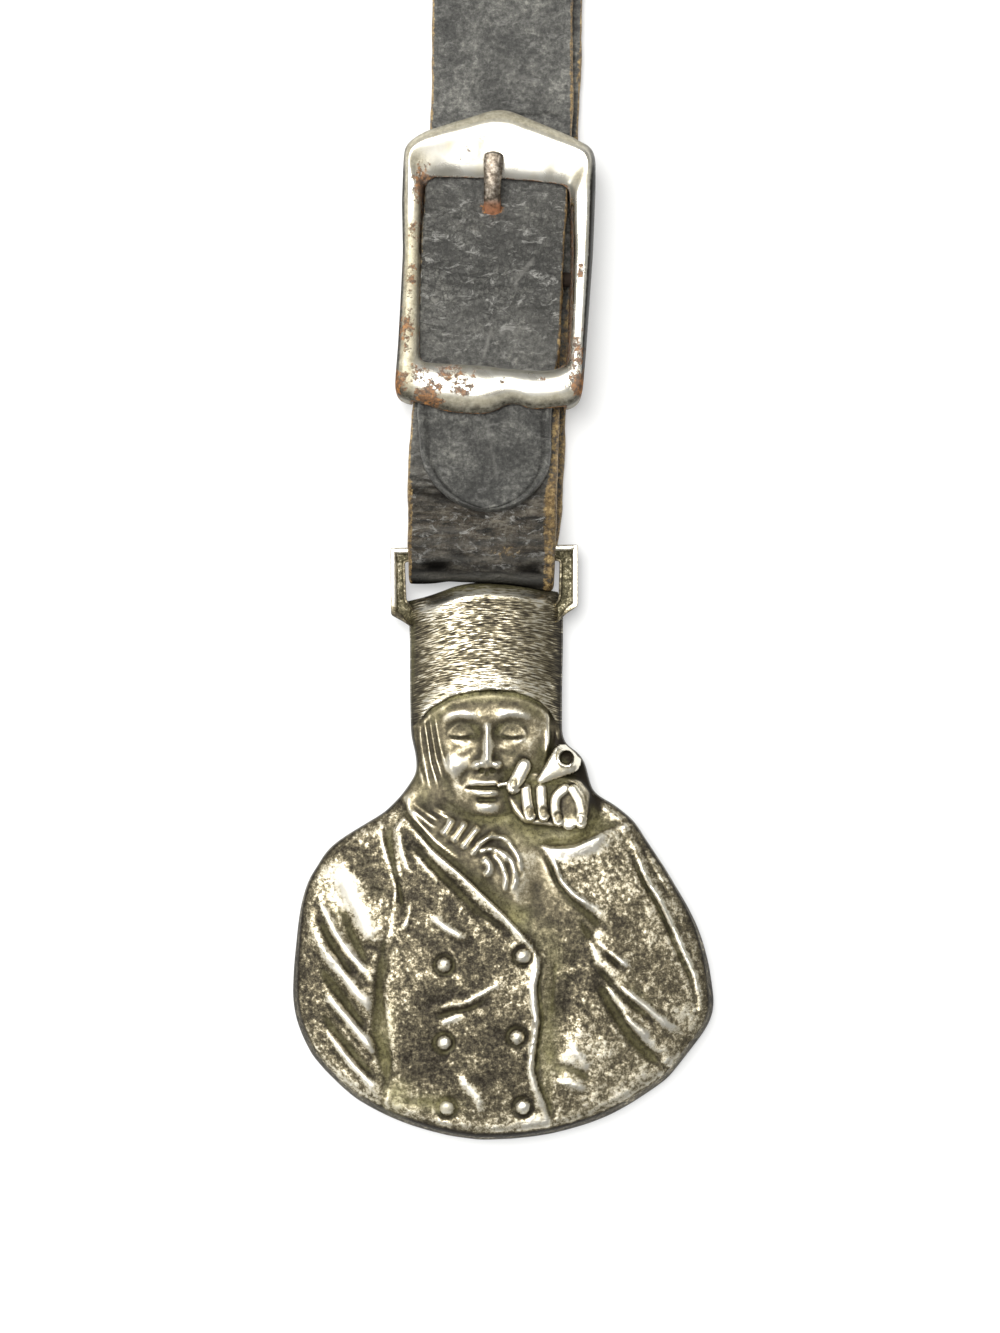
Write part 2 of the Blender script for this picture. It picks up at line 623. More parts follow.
def region(points, table, soft_px):
    """1 inside a smooth closed outline, 0 outside, with a soft edge."""
    loop = eased(dense_line(list(table) + [table[0]], 3.0)[:-1], 2, closed=True)
    low, high = loop.min(0) - 2 * soft_px, loop.max(0) + 2 * soft_px
    near = np.all((points > low) & (points < high), axis=1)
    result = np.zeros(len(points))
    distance, _, _ = distance_to(points[near], np.vstack([loop, loop[:1]]))
    signed = np.where(inside(points[near], loop), distance, -distance)
    result[near] = smooth_step(signed, -soft_px / 2, soft_px / 2)
    return result


def stroke(points, route, width_px):
    """Signed distance over half the width, share along, and who is near a route."""
    line = eased(dense_line(route, 2.5), 3)
    reach = width_px * 1.6
    low, high = line.min(0) - reach, line.max(0) + reach
    near = np.flatnonzero(np.all((points > low) & (points < high), axis=1))
    distance, side, share = distance_to(points[near], line)
    return near, distance * side / (width_px / 2), share


def taper(share, sharp=0.35):
    """Falls to nothing at both ends of a stroke."""
    return smooth_step(share, -0.02, sharp) * smooth_step(1 - share, -0.02, sharp)


def ridge(points, heights, route, width_px, rise, lean=0.0, sharp=0.3):
    """Raise or sink the surface along a route. Lean makes one flank steeper."""
    near, across, share = stroke(points, route, width_px)
    skewed = across * (1 + lean * np.sign(across))
    heights[near] += rise * bell(skewed, 1.0) * taper(share, sharp)


def round_bar(points, heights, route, width_px, top, depth=None, end_width_px=None, flat=2):
    """Raise the surface to a bar with a round back, such as a finger, flatter with a higher power."""
    end_width_px = end_width_px or width_px
    widest = max(width_px, end_width_px)
    near, across, share = stroke(points, route, widest)
    across = across * widest / (width_px + (end_width_px - width_px) * share)
    drop = depth or width_px / 2 * PHOTO_SCALE
    back = top - drop + drop * np.sqrt(np.clip(1 - np.abs(across) ** flat, 0, 1))
    back = np.where(np.abs(across) < 1, back, -9)
    heights[near] = np.maximum(heights[near], back)


def patch(points, x, y, reach_x, reach_y, turn=0):
    """1 at a place, fading out evenly at the reach given, turned clockwise in degrees."""
    turn = math.radians(turn)
    dx, dy = points[:, 0] - x, points[:, 1] - y
    u = (dx * math.cos(turn) + dy * math.sin(turn)) / reach_x
    v = (dy * math.cos(turn) - dx * math.sin(turn)) / reach_y
    return np.exp(-((u ** 2 + v ** 2) ** 1.3) * 1.4)


# Relief of the medallion

# Domes of the coat, hat and head: middle in pixels, heights and half width in millimetres.
# The rim is where the front turns down to the side wall.
COAT_MIDDLE_PX = (500, 985)
COAT_HEIGHT = 4.6
COAT_EDGE_HEIGHT = 2.4
COAT_HALF_WIDTH = 19.0
HAT_HEIGHT = 4.3
HAT_SIDE_HEIGHT = 1.7
HEAD_HEIGHT = 4.0
RIM_HEIGHT = 1.75

# Hat in pixels: its middle, the middle of its worn crown, its half width and a stroke of its fur
HAT_MIDDLE_PX = 486.5
CROWN_MIDDLE_PX = 486
HAT_HALF_WIDTH_PX = 78
STROKE_LENGTH_PX = 9.5
STROKE_WIDTH_PX = 1.4

# Lower edge of the hat, left to right
brim_px = [
    (404, 736), (410, 728), (420, 720), (430, 709), (440, 703), (450, 697), (460, 694), (475, 691.5),
    (490, 690), (500, 690.5), (515, 692), (530, 697), (540, 702), (550, 712), (556, 722), (561, 731),
    (568, 738)]

# Raised folds: width in pixels, rise in millimetres, lean, route in pixels
coat_folds = [
    (12, 0.42, -0.3, [(404, 815), (416, 833), (432, 850), (449, 864), (467, 880), (481, 895), (501, 912),
        (514, 925), (528, 938), (537, 955), (539, 966)]),
    (9, 0.40, 0.3, [(538, 958), (537, 972), (532, 984), (533, 1006), (536, 1020), (534, 1036), (532, 1051),
        (529, 1069), (534, 1087), (541, 1103), (546, 1122)]),
    (8, 0.16, 0.0, [(411, 849), (425, 868), (441, 880)]),
    (26, 0.50, 0.3, [(326, 862), (342, 880), (356, 903), (366, 926), (377, 950)]),
    (14, 0.22, 0.0, [(306, 902), (312, 926), (322, 950), (330, 975)]),
    (9, 0.34, 0.35, [(316, 884), (322, 908), (333, 931), (346, 951), (357, 964), (368, 977), (375, 989)]),
    (15, 0.50, 0.3, [(318, 938), (327, 955), (341, 973), (355, 991), (367, 1005), (374, 1018)]),
    (12, 0.46, 0.3, [(322, 984), (329, 999), (341, 1013), (355, 1030), (369, 1047), (380, 1062)]),
    (13, 0.42, 0.3, [(322, 1026), (338, 1047), (349, 1062), (363, 1077), (375, 1092), (388, 1110)]),
    (7, 0.22, 0.0, [(381, 815), (382, 832), (383, 844), (389, 857), (393, 872), (396, 888), (392, 908)]),
    (8, 0.20, 0.0, [(397, 822), (401, 849), (407, 867), (415, 876)]),
    (8, 0.20, 0.0, [(411, 898), (409, 913), (402, 934)]),
    (11, 0.34, 0.2, [(428, 911), (438, 923), (450, 931), (468, 941)]),
    (8, 0.26, 0.3, [(426, 1014), (446, 1006), (467, 1003), (486, 992), (506, 979)]),
    (10, 0.18, 0.0, [(440, 1024), (452, 1019), (462, 1014)]),
    (13, 0.24, 0.2, [(456, 1072), (467, 1087), (477, 1098), (481, 1116)]),
    (16, 0.34, -0.3, [(537, 842), (556, 850), (574, 849), (591, 842), (606, 835), (622, 832)]),
    (7, 0.26, 0.2, [(626, 832), (635, 849), (642, 868), (649, 883), (659, 898), (668, 916), (677, 936),
        (686, 957), (694, 973), (699, 996), (702, 1020)]),
    (7, 0.30, -0.3, [(543, 848), (555, 862), (561, 881), (574, 895), (591, 905), (608, 914)]),
    (8, 0.26, -0.3, [(589, 935), (604, 949), (618, 959), (636, 970)]),
    (10, 0.38, -0.4, [(612, 982), (635, 998), (654, 1013), (668, 1023), (683, 1036)]),
    (7, 0.24, -0.4, [(622, 1014), (635, 1025), (653, 1039)]),
    (9, 0.20, 0.0, [(556, 1082), (571, 1083), (588, 1090)]),
    (8, 0.14, 0.0, [(566, 1040), (577, 1052), (589, 1070)]),
    (16, 0.26, 0.0, [(595, 803), (609, 809), (622, 819), (631, 833)]),
]
# Grooves: width in pixels, depth in millimetres, route in pixels
coat_grooves = [
    (9, 0.34, [(410, 841), (420, 851), (439, 873), (459, 892), (481, 913), (503, 928), (520, 945)]),
    (4, 0.40, [(541, 958), (543, 968), (538, 986), (540, 1005), (542, 1020), (539, 1040), (537, 1055),
        (536, 1072), (541, 1089), (549, 1104), (556, 1128)]),
    (6, 0.26, [(383, 829), (389, 851), (397, 880), (402, 903), (401, 917)]),
    (10, 0.30, [(340, 905), (350, 930), (362, 955), (370, 968)]),
    (7, 0.30, [(318, 916), (328, 938), (345, 966), (358, 982)]),
    (10, 0.34, [(318, 965), (330, 982), (345, 1002), (360, 1022), (372, 1036)]),
    (10, 0.34, [(318, 1008), (332, 1028), (350, 1050), (366, 1068), (380, 1082)]),
    (13, 0.34, [(394, 935), (386, 960), (381, 985), (379, 1010), (376, 1034), (384, 1055), (391, 1078),
        (396, 1100)]),
    (8, 0.16, [(400, 1101), (425, 1102), (440, 1104)]),
    (6, 0.22, [(432, 1020), (450, 1013), (470, 1009), (488, 1000)]),
    (10, 0.42, [(536, 846), (547, 864), (556, 884), (567, 898), (585, 912), (601, 925), (613, 933)]),
    (8, 0.34, [(577, 913), (586, 932), (600, 948), (615, 962), (628, 972)]),
    (9, 0.44, [(590, 958), (603, 975), (617, 990), (633, 1005), (648, 1016), (660, 1028)]),
    (12, 0.44, [(597, 981), (609, 1003), (624, 1027), (638, 1044), (652, 1056), (666, 1064)]),
    (5, 0.24, [(622, 836), (631, 853), (638, 871), (645, 886), (655, 901), (664, 919), (672, 938),
        (681, 958), (690, 976), (695, 997), (698, 1022)]),
    (6, 0.16, [(632, 830), (642, 848), (652, 868), (664, 888), (676, 908)]),
    (7, 0.24, [(534, 840), (556, 843), (574, 842), (589, 835), (603, 828)]),
    (8, 0.28, [(552, 1066), (568, 1068), (583, 1074), (591, 1084)]),
    (4, 0.12, [(556, 958), (554, 990), (551, 1018)]),
    (3, 0.14, [(572, 998), (591, 1017), (600, 1026)]),
    (9, 0.16, [(452, 890), (475, 915), (498, 942)]),
]
buttons_px = [(444, 965), (523, 956), (444, 1043), (517, 1037), (447, 1108), (523, 1107)]
BUTTON_RADIUS_PX = 7.4

# Raised or sunken parts of the coat: height, softness of the edge in pixels, outline in pixels
coat_parts = [
    # Sleeve of the raised arm
    (0.30, 7, [
        (538, 844), (556, 847), (574, 845), (590, 837), (606, 829), (640, 820), (730, 960), (735, 1040),
        (690, 1075), (662, 1064), (640, 1042), (612, 1000), (596, 968), (588, 940), (600, 925), (584, 911),
        (567, 897), (556, 883), (548, 863)]),
    # Sleeve of the other arm
    (0.18, 10, [
        (385, 800), (383, 830), (388, 856), (394, 880), (392, 915), (380, 950), (372, 990), (370, 1030),
        (382, 1075), (392, 1112), (300, 1110), (250, 980), (280, 860)]),
    # Side of the coat that closes over the other
    (0.26, 5, [
        (404, 815), (432, 846), (467, 876), (501, 908), (530, 936), (541, 962), (537, 985), (540, 1020),
        (535, 1060), (542, 1092), (552, 1128), (480, 1150), (380, 1130), (392, 1060), (380, 980),
        (396, 880), (392, 830)]),
    # Sunken cloth beside it
    (-0.28, 26, [
        (500, 895), (522, 905), (536, 935), (545, 962), (546, 1010), (543, 1060), (560, 1075), (572, 1010),
        (585, 960), (590, 935), (560, 895), (545, 860), (530, 850)]),
]


def coat_relief(points):
    """Domed coat with its folds, lapel, cuff and buttons."""
    away = np.hypot(points[:, 0] - COAT_MIDDLE_PX[0], points[:, 1] - COAT_MIDDLE_PX[1]) * PHOTO_SCALE
    drop = COAT_HEIGHT - COAT_EDGE_HEIGHT
    radius = (COAT_HALF_WIDTH ** 2 + drop ** 2) / (2 * drop)
    heights = COAT_HEIGHT - 0.3 - radius + np.sqrt(np.clip(radius ** 2 - away ** 2, 1, None))
    for rise, soft_px, outline_px in coat_parts:
        heights += rise * region(points, outline_px, soft_px)
    heights -= 0.16 * patch(points, 432, 1035, 34, 52, -6)
    uneven = 1 + 0.35 * (lattice(points[:, 0] / 17, points[:, 1] / 17, 3) - 0.5)
    folds = np.zeros(len(points))
    for width, depth, route in coat_grooves:
        ridge(points, folds, route, width, -depth, sharp=0.25)
    for width, rise, lean, route in coat_folds:
        ridge(points, folds, route, width, rise, lean)
    heights += folds * uneven
    for place in buttons_px:
        reach = np.hypot(*(points - np.array(place)).T)
        heights -= 0.20 * bell(reach - 9.8, 2.4)
        heights += 0.42 * np.sqrt(np.clip(1 - (reach / BUTTON_RADIUS_PX) ** 2, 0, 1))
    pin = (points - (525, 899)) / (7.5, 12)
    heights += 0.34 * np.clip(1 - (pin ** 2).sum(1), 0, 1) ** 0.6
    return heights


# Curled strands of the scarf and locks of hair: width in pixels, rise in millimetres, route in pixels
scarf_strands = [
    (9, 0.42, [(441, 836), (447, 829), (453, 817)]),
    (9, 0.44, [(451, 843), (458, 834), (467, 820)]),
    (9, 0.42, [(461, 850), (468, 840), (480, 825)]),
    (8, 0.38, [(470, 856), (480, 844), (497, 831)]),
    (6, 0.28, [(474, 846), (488, 837), (503, 837), (513, 845)]),
    (6, 0.30, [(477, 853), (490, 848), (501, 852), (509, 864)]),
    (9, 0.40, [(481, 857), (489, 862), (490, 871), (483, 877)]),
    (6, 0.30, [(491, 852), (501, 862), (506, 876), (505, 893)]),
    (6, 0.26, [(501, 848), (512, 861), (516, 878), (513, 892)]),
    (5, 0.22, [(508, 842), (518, 855), (522, 872)]),
    (4.5, 0.18, [(411, 801), (424, 811), (439, 822)]),
    (4, 0.15, [(419, 795), (432, 806), (447, 814)]),
    (4.5, 0.20, [(411, 809), (424, 820), (436, 829)]),
    (4, 0.14, [(426, 790), (439, 800), (454, 808), (472, 813)]),
    (3.6, 0.12, [(421, 802), (436, 812), (452, 819)]),
    (3.6, 0.12, [(432, 793), (446, 801), (460, 807)]),
    (4, 0.14, [(404, 804), (418, 822), (436, 842), (462, 862)]),
]
hair_strands = [
    (3.6, 0.12, [(409, 738), (410, 752), (413, 768), (416, 782)]),
    (3.6, 0.14, [(414, 728), (416, 748), (419, 768), (424, 788)]),
    (3.4, 0.12, [(419, 722), (421, 745), (425, 768), (431, 792)]),
    (3.4, 0.13, [(424, 717), (427, 738), (431, 764), (439, 790)]),
    (3.2, 0.11, [(429, 713), (432, 734), (436, 758), (444, 783)]),
    (3.2, 0.10, [(434, 711), (437, 730), (441, 752), (447, 772)]),
    (4, 0.16, [(557, 728), (559, 742), (556, 756)]),
    (4, 0.14, [(551, 722), (553, 738), (550, 752)]),
]

# Head in pixels, and its height in millimetres where the face meets the hair
HEAD_MIDDLE_PX = 738
HEAD_HALF_WIDTH_PX = 74
HEAD_HALF_HEIGHT_PX = 96
HEAD_EDGE_HEIGHT = 1.7

# The face is a plain one of ordinary proportions, set in the head by shares of its size
FACE_MIDDLE_PX = 487
FACE_HALF_WIDTH_PX = 62
EYE_LINE_PX = 731
CHIN_PX = 816
FACE_UNIT_PX = CHIN_PX - EYE_LINE_PX


def face_place(across_share, down_share):
    """Pixel of a place on the face: shares of its half width and of eyes to chin."""
    return (FACE_MIDDLE_PX + across_share * FACE_HALF_WIDTH_PX, EYE_LINE_PX + down_share * FACE_UNIT_PX)


def head_relief(points):
    """Round head with a calm, plain face."""
    away_x = (points[:, 0] - FACE_MIDDLE_PX) / HEAD_HALF_WIDTH_PX
    away_y = (points[:, 1] - HEAD_MIDDLE_PX) / HEAD_HALF_HEIGHT_PX
    ball = np.clip(1 - away_x ** 2 - away_y ** 2, 0, 1)
    heights = HEAD_EDGE_HEIGHT + (HEAD_HEIGHT - HEAD_EDGE_HEIGHT) * ball ** 0.42
    unit = FACE_HALF_WIDTH_PX

    def spot(across, down, reach_x, reach_y):
        """Round form at a place on the face, its reach in shares of the face's half width."""
        return patch(points, *face_place(across, down), reach_x * unit, reach_y * unit)

    def line(width_px, rise, *shares, **settings):
        """Fold or groove along a route over the face."""
        ridge(points, heights, [face_place(*share) for share in shares], width_px, rise, **settings)

    for side in (-1, 1):
        # Eye socket, eyeball, brow and eyelids
        heights -= 0.50 * spot(0.34 * side, 0.0, 0.36, 0.20)
        eyeball = (points - face_place(0.42 * side, 0.03)) / (0.24 * unit, 0.17 * unit)
        heights += 0.30 * np.clip(1 - (eyeball ** 2).sum(1), 0, 1) ** 1.1
        line(13, 0.20, (0.14 * side, -0.15), (0.30 * side, -0.21), (0.50 * side, -0.22), (0.76 * side, -0.14),
             lean=0.2)
        line(5, 0.07, (0.17 * side, 0.07), (0.28 * side, -0.06), (0.42 * side, -0.095), (0.56 * side, -0.045),
             (0.67 * side, 0.06), sharp=0.2)
        line(5, 0.07, (0.20 * side, 0.08), (0.30 * side, 0.145), (0.42 * side, 0.165), (0.55 * side, 0.13),
             (0.65 * side, 0.07), sharp=0.2)
        line(6, -0.06, (0.20 * side, 0.20), (0.34 * side, 0.27), (0.50 * side, 0.27))
        # Cheek, side of the nose, nostril and ear
        heights += 0.34 * spot(0.54 * side, 0.38, 0.24, 0.20)
        heights += 0.50 * spot(0.165 * side, 0.40, 0.085, 0.085)
        heights -= 0.34 * spot(0.09 * side, 0.465, 0.045, 0.04)
        heights += 0.40 * spot(1.0 * side, 0.20, 0.09, 0.30)
        # Folds of the cheek
        line(9, -0.13, (0.27 * side, 0.42), (0.38 * side, 0.54), (0.44 * side, 0.68))
        line(14, -0.10, (0.72 * side, 0.46), (0.64 * side, 0.64), (0.50 * side, 0.82))
    # Gap between the eyelids
    for side in (-1, 1):
        line(3.4, -0.15, (0.2 * side, 0.06), (0.42 * side, 0.085), (0.64 * side, 0.06), sharp=0.2)
    # Nose and its tip, and the groove below it
    line(15, 0.60, (0, -0.16), (0, 0.08), (0, 0.24), (0, 0.42), sharp=0.25)
    heights += 0.46 * spot(0, 0.375, 0.12, 0.11)
    line(4, -0.12, (0, 0.47), (0, 0.54))
    # Lips, the line between them and the chin
    line(7, 0.20, (-0.33, 0.648), (-0.16, 0.60), (0, 0.615), (0.16, 0.60), (0.33, 0.648), sharp=0.35)
    line(8, 0.28, (-0.25, 0.71), (-0.1, 0.735), (0.1, 0.735), (0.25, 0.71), sharp=0.4)
    line(3.6, -0.28, (-0.37, 0.668), (-0.16, 0.664), (0, 0.672), (0.16, 0.664), (0.37, 0.668), sharp=0.2)
    line(6, -0.24, (-0.20, 0.81), (0, 0.82), (0.20, 0.81))
    heights += 0.34 * spot(0, 0.915, 0.24, 0.14)
    return heights


fingers_px = [
    [(525.5, 788), (527, 802), (530, 816)],
    [(541, 789), (541.5, 802), (544, 816)],
    [(565, 789), (556, 796), (554.5, 808), (558.5, 821)],
    [(573, 790), (579, 799), (582, 811), (581, 823)],
]
thumb_px = [(524, 766), (519, 776), (513.5, 787)]
hand_px = [
    (509, 784), (520, 770), (540, 772), (566, 776), (580, 780), (589, 793), (590, 814), (583, 828),
    (566, 829), (545, 826), (524, 824), (513, 812), (507, 797)]
HAND_HEIGHT = 3.95


def hand_relief(points, heights):
    """Hand closed round the pipe: mass, four fingers, thumb and nails."""
    heights = heights + region(points, hand_px, 6) * (np.maximum(HAND_HEIGHT, heights) - heights)
    for route in fingers_px:
        round_bar(points, heights, route, 12, 4.5, 0.5, flat=3.5)
    round_bar(points, heights, [(568, 797), (569, 822)], 16, 4.3, 0.2, flat=6)
    round_bar(points, heights, thumb_px, 15, 4.75, 0.5, flat=3)
    for route in fingers_px + [thumb_px]:
        reach = np.hypot(points[:, 0] - route[-1][0], (points[:, 1] - route[-1][1] + 3) / 1.35)
        heights -= 0.11 * bell(reach - 3.9, 1.2)
    ridge(points, heights, [(513, 797), (519, 787), (534, 782), (550, 783), (566, 783)], 4, -0.20, sharp=0.15)
    return heights


def pipe_relief(points, heights):
    """Short pipe: a bowl that widens to its open mouth, and a thin stem."""
    round_bar(points, heights, [(520, 779), (509, 783), (499, 785)], 4.5, 4.4)
    round_bar(points, heights, [(541, 780), (549, 773), (558, 766), (565, 760)], 9, 4.5, 0.35, 32)
    reach = np.hypot(points[:, 0] - 566.5, points[:, 1] - 757.5)
    bowl = np.where(reach < 12, 4.75 - 1.2 * smooth_step(reach, 9.6, 12), -9)
    heights = np.maximum(heights, bowl)
    heights -= 1.1 * smooth_step(7.8 - reach, 0, 2.2)
    return heights


def hat_relief(points):
    """Tall soft hat with a straight crown, sides that fall away and short tufts of fur."""
    x, y = points[:, 0], points[:, 1]
    across = (x - HAT_MIDDLE_PX) / HAT_HALF_WIDTH_PX
    flank = np.clip(1 - np.abs(across) ** 2.4, 0, 1) ** 0.66
    heights = HAT_SIDE_HEIGHT + (HAT_HEIGHT - HAT_SIDE_HEIGHT) * flank
    top_line = np.interp(x, *zip(*top_px))
    heights -= 1.3 * (1 - smooth_step(y - top_line, -2, 17)) ** 1.6
    brim = np.interp(x, *zip(*brim_px))
    heights += 0.12 * bell(brim - y - 9, 11)
    heights += 0.10 * (lattice(x / 26, y / 15, 5) - 0.5)
    return heights, brim


def fur_lines(points):
    """Places along and across the strokes of fur, counted in strokes, for the noise of the fur."""
    x, y = points[:, 0], points[:, 1]
    side = x - HAT_MIDDLE_PX
    row = y - 0.0021 * side ** 2 + 4 * (lattice(x / 40, y / 26, 12) - 0.5) + 0.04 * side * np.sin(y / 31)
    along = x + 9 * (lattice(x / 30, y / 9, 13) - 0.5)
    return along / STROKE_LENGTH_PX, row / STROKE_WIDTH_PX


# Bright worn places: pixel, reach in pixels, turn in degrees, strength (negative where dark)
wear_places = [
    (550, 802, 48, 34, 0, -0.12), (568, 812, 6, 14, 0, -0.10), (588, 800, 7, 26, 0, -0.34),
    (572, 781, 16, 5, 12, -0.22), (530, 812, 4, 5, 0, -0.34), (544, 812, 4, 5, 0, -0.34),
    (558, 817, 4, 5, 0, -0.30), (514, 783, 4, 5, 0, -0.30), (665, 950, 24, 60, -20, 0.10),
    (500, 628, 30, 24, 0, -0.10), (470, 660, 16, 12, 0, -0.12), (496, 600, 62, 9, 0, -0.20),
    (424, 755, 17, 44, -6, -0.20), (428, 814, 26, 14, 35, -0.16), (436, 800, 14, 12, 0, -0.14),
    (346, 902, 20, 44, -24, 0.46), (330, 872, 22, 22, 0, 0.10), (346, 948, 12, 30, -40, 0.16),
    (346, 985, 9, 34, -38, 0.20), (350, 1025, 9, 38, -38, 0.16), (352, 1082, 12, 40, -45, 0.22),
    (580, 851, 42, 13, -8, 0.46), (608, 816, 16, 12, 30, 0.34), (620, 885, 46, 46, 0, 0.10),
    (566, 878, 18, 26, -30, 0.14), (655, 1012, 42, 18, 38, 0.26), (683, 1020, 22, 22, 0, 0.16),
    (590, 1060, 42, 34, 20, 0.20), (633, 1086, 40, 14, -28, 0.22), (532, 1000, 5, 60, 0, 0.20),
    (437, 925, 20, 12, 40, 0.24), (452, 1020, 18, 9, -15, 0.32), (472, 1090, 12, 24, -25, 0.18),
    (392, 850, 8, 40, -6, 0.12), (462, 870, 80, 7, 43, 0.22), (525, 898, 9, 14, 0, 0.22),
    (440, 1000, 55, 60, 0, -0.16), (440, 1072, 48, 34, 0, -0.22), (500, 1060, 30, 50, 0, -0.16),
    (420, 890, 22, 46, -20, -0.12), (302, 1010, 16, 40, -8, -0.16), (362, 940, 7, 30, -30, -0.14),
    (560, 990, 22, 60, 0, -0.08), (500, 960, 30, 26, 0, -0.06), (535, 905, 14, 40, -20, -0.06),
    (600, 990, 12, 34, -32, -0.20), (640, 1048, 26, 8, 42, -0.18), (668, 930, 12, 60, -22, 0.08)]
# Yellow-green crust: pixel, reach, turn, strength
crust_places = [
    (386, 1040, 8, 40, 8, 0.5), (398, 1096, 16, 18, 0, 0.8), (428, 1103, 34, 10, 5, 0.7),
    (548, 1040, 7, 80, 0, 0.45), (553, 950, 12, 30, -15, 0.35), (525, 838, 22, 12, 5, 0.5),
    (572, 836, 34, 6, -8, 0.4), (518, 915, 12, 14, 40, 0.6), (484, 697, 62, 5, 0, 0.6),
    (440, 712, 16, 8, -35, 0.5), (533, 708, 16, 8, 35, 0.5), (486, 588, 76, 8, 0, 0.5),
    (560, 1072, 26, 5, 15, 0.45), (545, 782, 18, 4, 0, 0.5), (636, 992, 26, 6, 38, 0.3),
    (420, 786, 10, 26, -20, 0.3), (500, 820, 26, 6, 0, 0.35), (580, 828, 24, 5, -20, 0.4),
    (300, 1048, 8, 30, -25, 0.3), (412, 640, 4, 70, 0, 0.3)]


# Zones of the relief, as outlines in pixels
lapel_zone_px = [
    (404, 798), (409, 818), (432, 848), (467, 878), (500, 909), (520, 930), (534, 946), (545, 975),
    (545, 1200), (250, 1200), (250, 780), (396, 790)]
sleeve_zone_px = [
    (538, 843), (556, 838), (574, 837), (590, 829), (598, 812), (592, 796), (760, 796), (760, 1200),
    (560, 1200), (620, 945), (601, 925), (584, 911), (567, 897), (556, 883), (548, 863)]
scarf_zone_px = [
    (404, 798), (418, 790), (440, 796), (466, 814), (500, 826), (524, 832), (532, 850), (530, 880),
    (518, 905), (500, 893), (478, 872), (452, 852), (428, 834), (410, 818)]
head_zone_px = [
    (426, 690), (425, 745), (430, 775), (441, 797), (461, 813), (487, 820), (512, 814), (532, 798),
    (544, 775), (550, 745), (550, 690)]
hair_zone_px = [
    (402, 712), (436, 706), (439, 740), (444, 768), (452, 800), (430, 812), (404, 800), (404, 760)]
below_brim_px = [(500, 750), (620, 745), (600, 700), (566, 735)]


def coat_share(points):
    """1 where the coat shows, 0 where the scarf, head and hat lie over it."""
    panel = smooth_step(points[:, 1] + 0.35 * (points[:, 0] - 540), 880, 975)
    panel *= smooth_step(points[:, 0], 500, 545)
    return np.maximum.reduce([region(points, lapel_zone_px, 5), region(points, sleeve_zone_px, 6), panel])


def scarf_relief(points):
    """Neck with the curled strands of its scarf."""
    heights = 2.25 + 1.15 * smooth_step(points[:, 1], 775, 880)
    heights += 0.3 * smooth_step(points[:, 0], 400, 470)
    heights += 0.34 * region(points, scarf_zone_px, 24)
    for width, rise, route in scarf_strands:
        ridge(points, heights, route, width, rise, sharp=0.2)
    return heights


def relief(points):
    """Heights of the whole front and the masks that its material reads."""
    edge_distance, _, _ = distance_to(points, np.vstack([outline_ring[::3], outline_ring[:1]]))
    coat_zone = coat_share(points)
    scarf = scarf_relief(points)
    heights = scarf + coat_zone * (coat_relief(points) - scarf)
    heights = heights + region(points, head_zone_px, 5) * (np.maximum(head_relief(points), heights) - heights)
    hair_height = 2.7 + 0.45 * smooth_step(points[:, 0], 408, 440)
    heights = heights + region(points, hair_zone_px, 16) * (hair_height - heights)
    for width, rise, route in hair_strands:
        ridge(points, heights, route, width, rise, sharp=0.2)
    hat, brim = hat_relief(points)
    between_sides = smooth_step(points[:, 0], 415, 430) * smooth_step(-points[:, 0], -556, -545)
    heights += 0.14 * bell(points[:, 1] - brim - 6, 6) * between_sides
    on_hat = smooth_step(brim - points[:, 1], -1.2, 1.2)
    fur_along, fur_row = fur_lines(points)
    tufts = lattice(fur_along * 0.45, fur_row * 0.22, 17)
    hat += 0.05 * (tufts - 0.5) * smooth_step(points[:, 1], 588, 604)
    heights = heights + on_hat * (hat - heights)
    heights = hand_relief(points, heights)
    heights = pipe_relief(points, heights)
    rough = 0.05 * (lattice(points[:, 0] / 5, points[:, 1] / 5, 21) - 0.5)
    rough += 0.08 * (lattice(points[:, 0] / 11, points[:, 1] / 11, 22) - 0.5)
    cloth = coat_zone * (1 - on_hat)
    heights += rough * (0.4 + 0.6 * cloth)
    shoulder = np.clip(edge_distance / 13, 0, 1)
    rolled = RIM_HEIGHT + (heights - RIM_HEIGHT) * np.sqrt(np.clip(1 - (1 - shoulder) ** 2, 0, 1))
    on_hat *= 1 - region(points, below_brim_px, 3)
    return rolled, on_hat, cloth, edge_distance, (fur_along, fur_row, tufts)


def blurred(table, radius):
    """Heights averaged over a square of grid points, done twice for a softer result."""
    result = table
    for _ in range(2):
        for axis, reach in ((0, radius[0]), (1, radius[1])):
            padded = np.concatenate([
                np.repeat(np.take(result, [0], axis), reach + 1, axis), result,
                np.repeat(np.take(result, [-1], axis), reach, axis)], axis)
            total = np.cumsum(padded, axis)
            size = result.shape[axis]
            high = np.take(total, range(2 * reach + 1, 2 * reach + 1 + size), axis)
            low = np.take(total, range(0, size), axis)
            result = (high - low) / (2 * reach + 1)
    return result


def front_places():
    """Pixel places of the grid's points, drawn in at the rim so that the side wall shows."""
    inset = np.zeros_like(outline_grid)
    inset[rim_rows, rim_columns] = outline_inward * rim_inset_px[:, None]
    u = np.linspace(-1, 1, RELIEF_COLUMNS)[None, :, None]
    v = np.linspace(-1, 1, RELIEF_ROWS)[:, None, None]
    sides = inset[:, :1] * (1 - u) / 2 + inset[:, -1:] * (1 + u) / 2
    ends = inset[:1] * (1 - v) / 2 + inset[-1:] * (1 + v) / 2
    side_share = np.abs(u) ** 8
    moved = outline_grid + sides * side_share + ends * np.abs(v) ** 20 * (1 - side_share)
    moved[rim_rows, rim_columns] = (outline_grid + inset)[rim_rows, rim_columns]
    return moved.reshape(-1, 2)


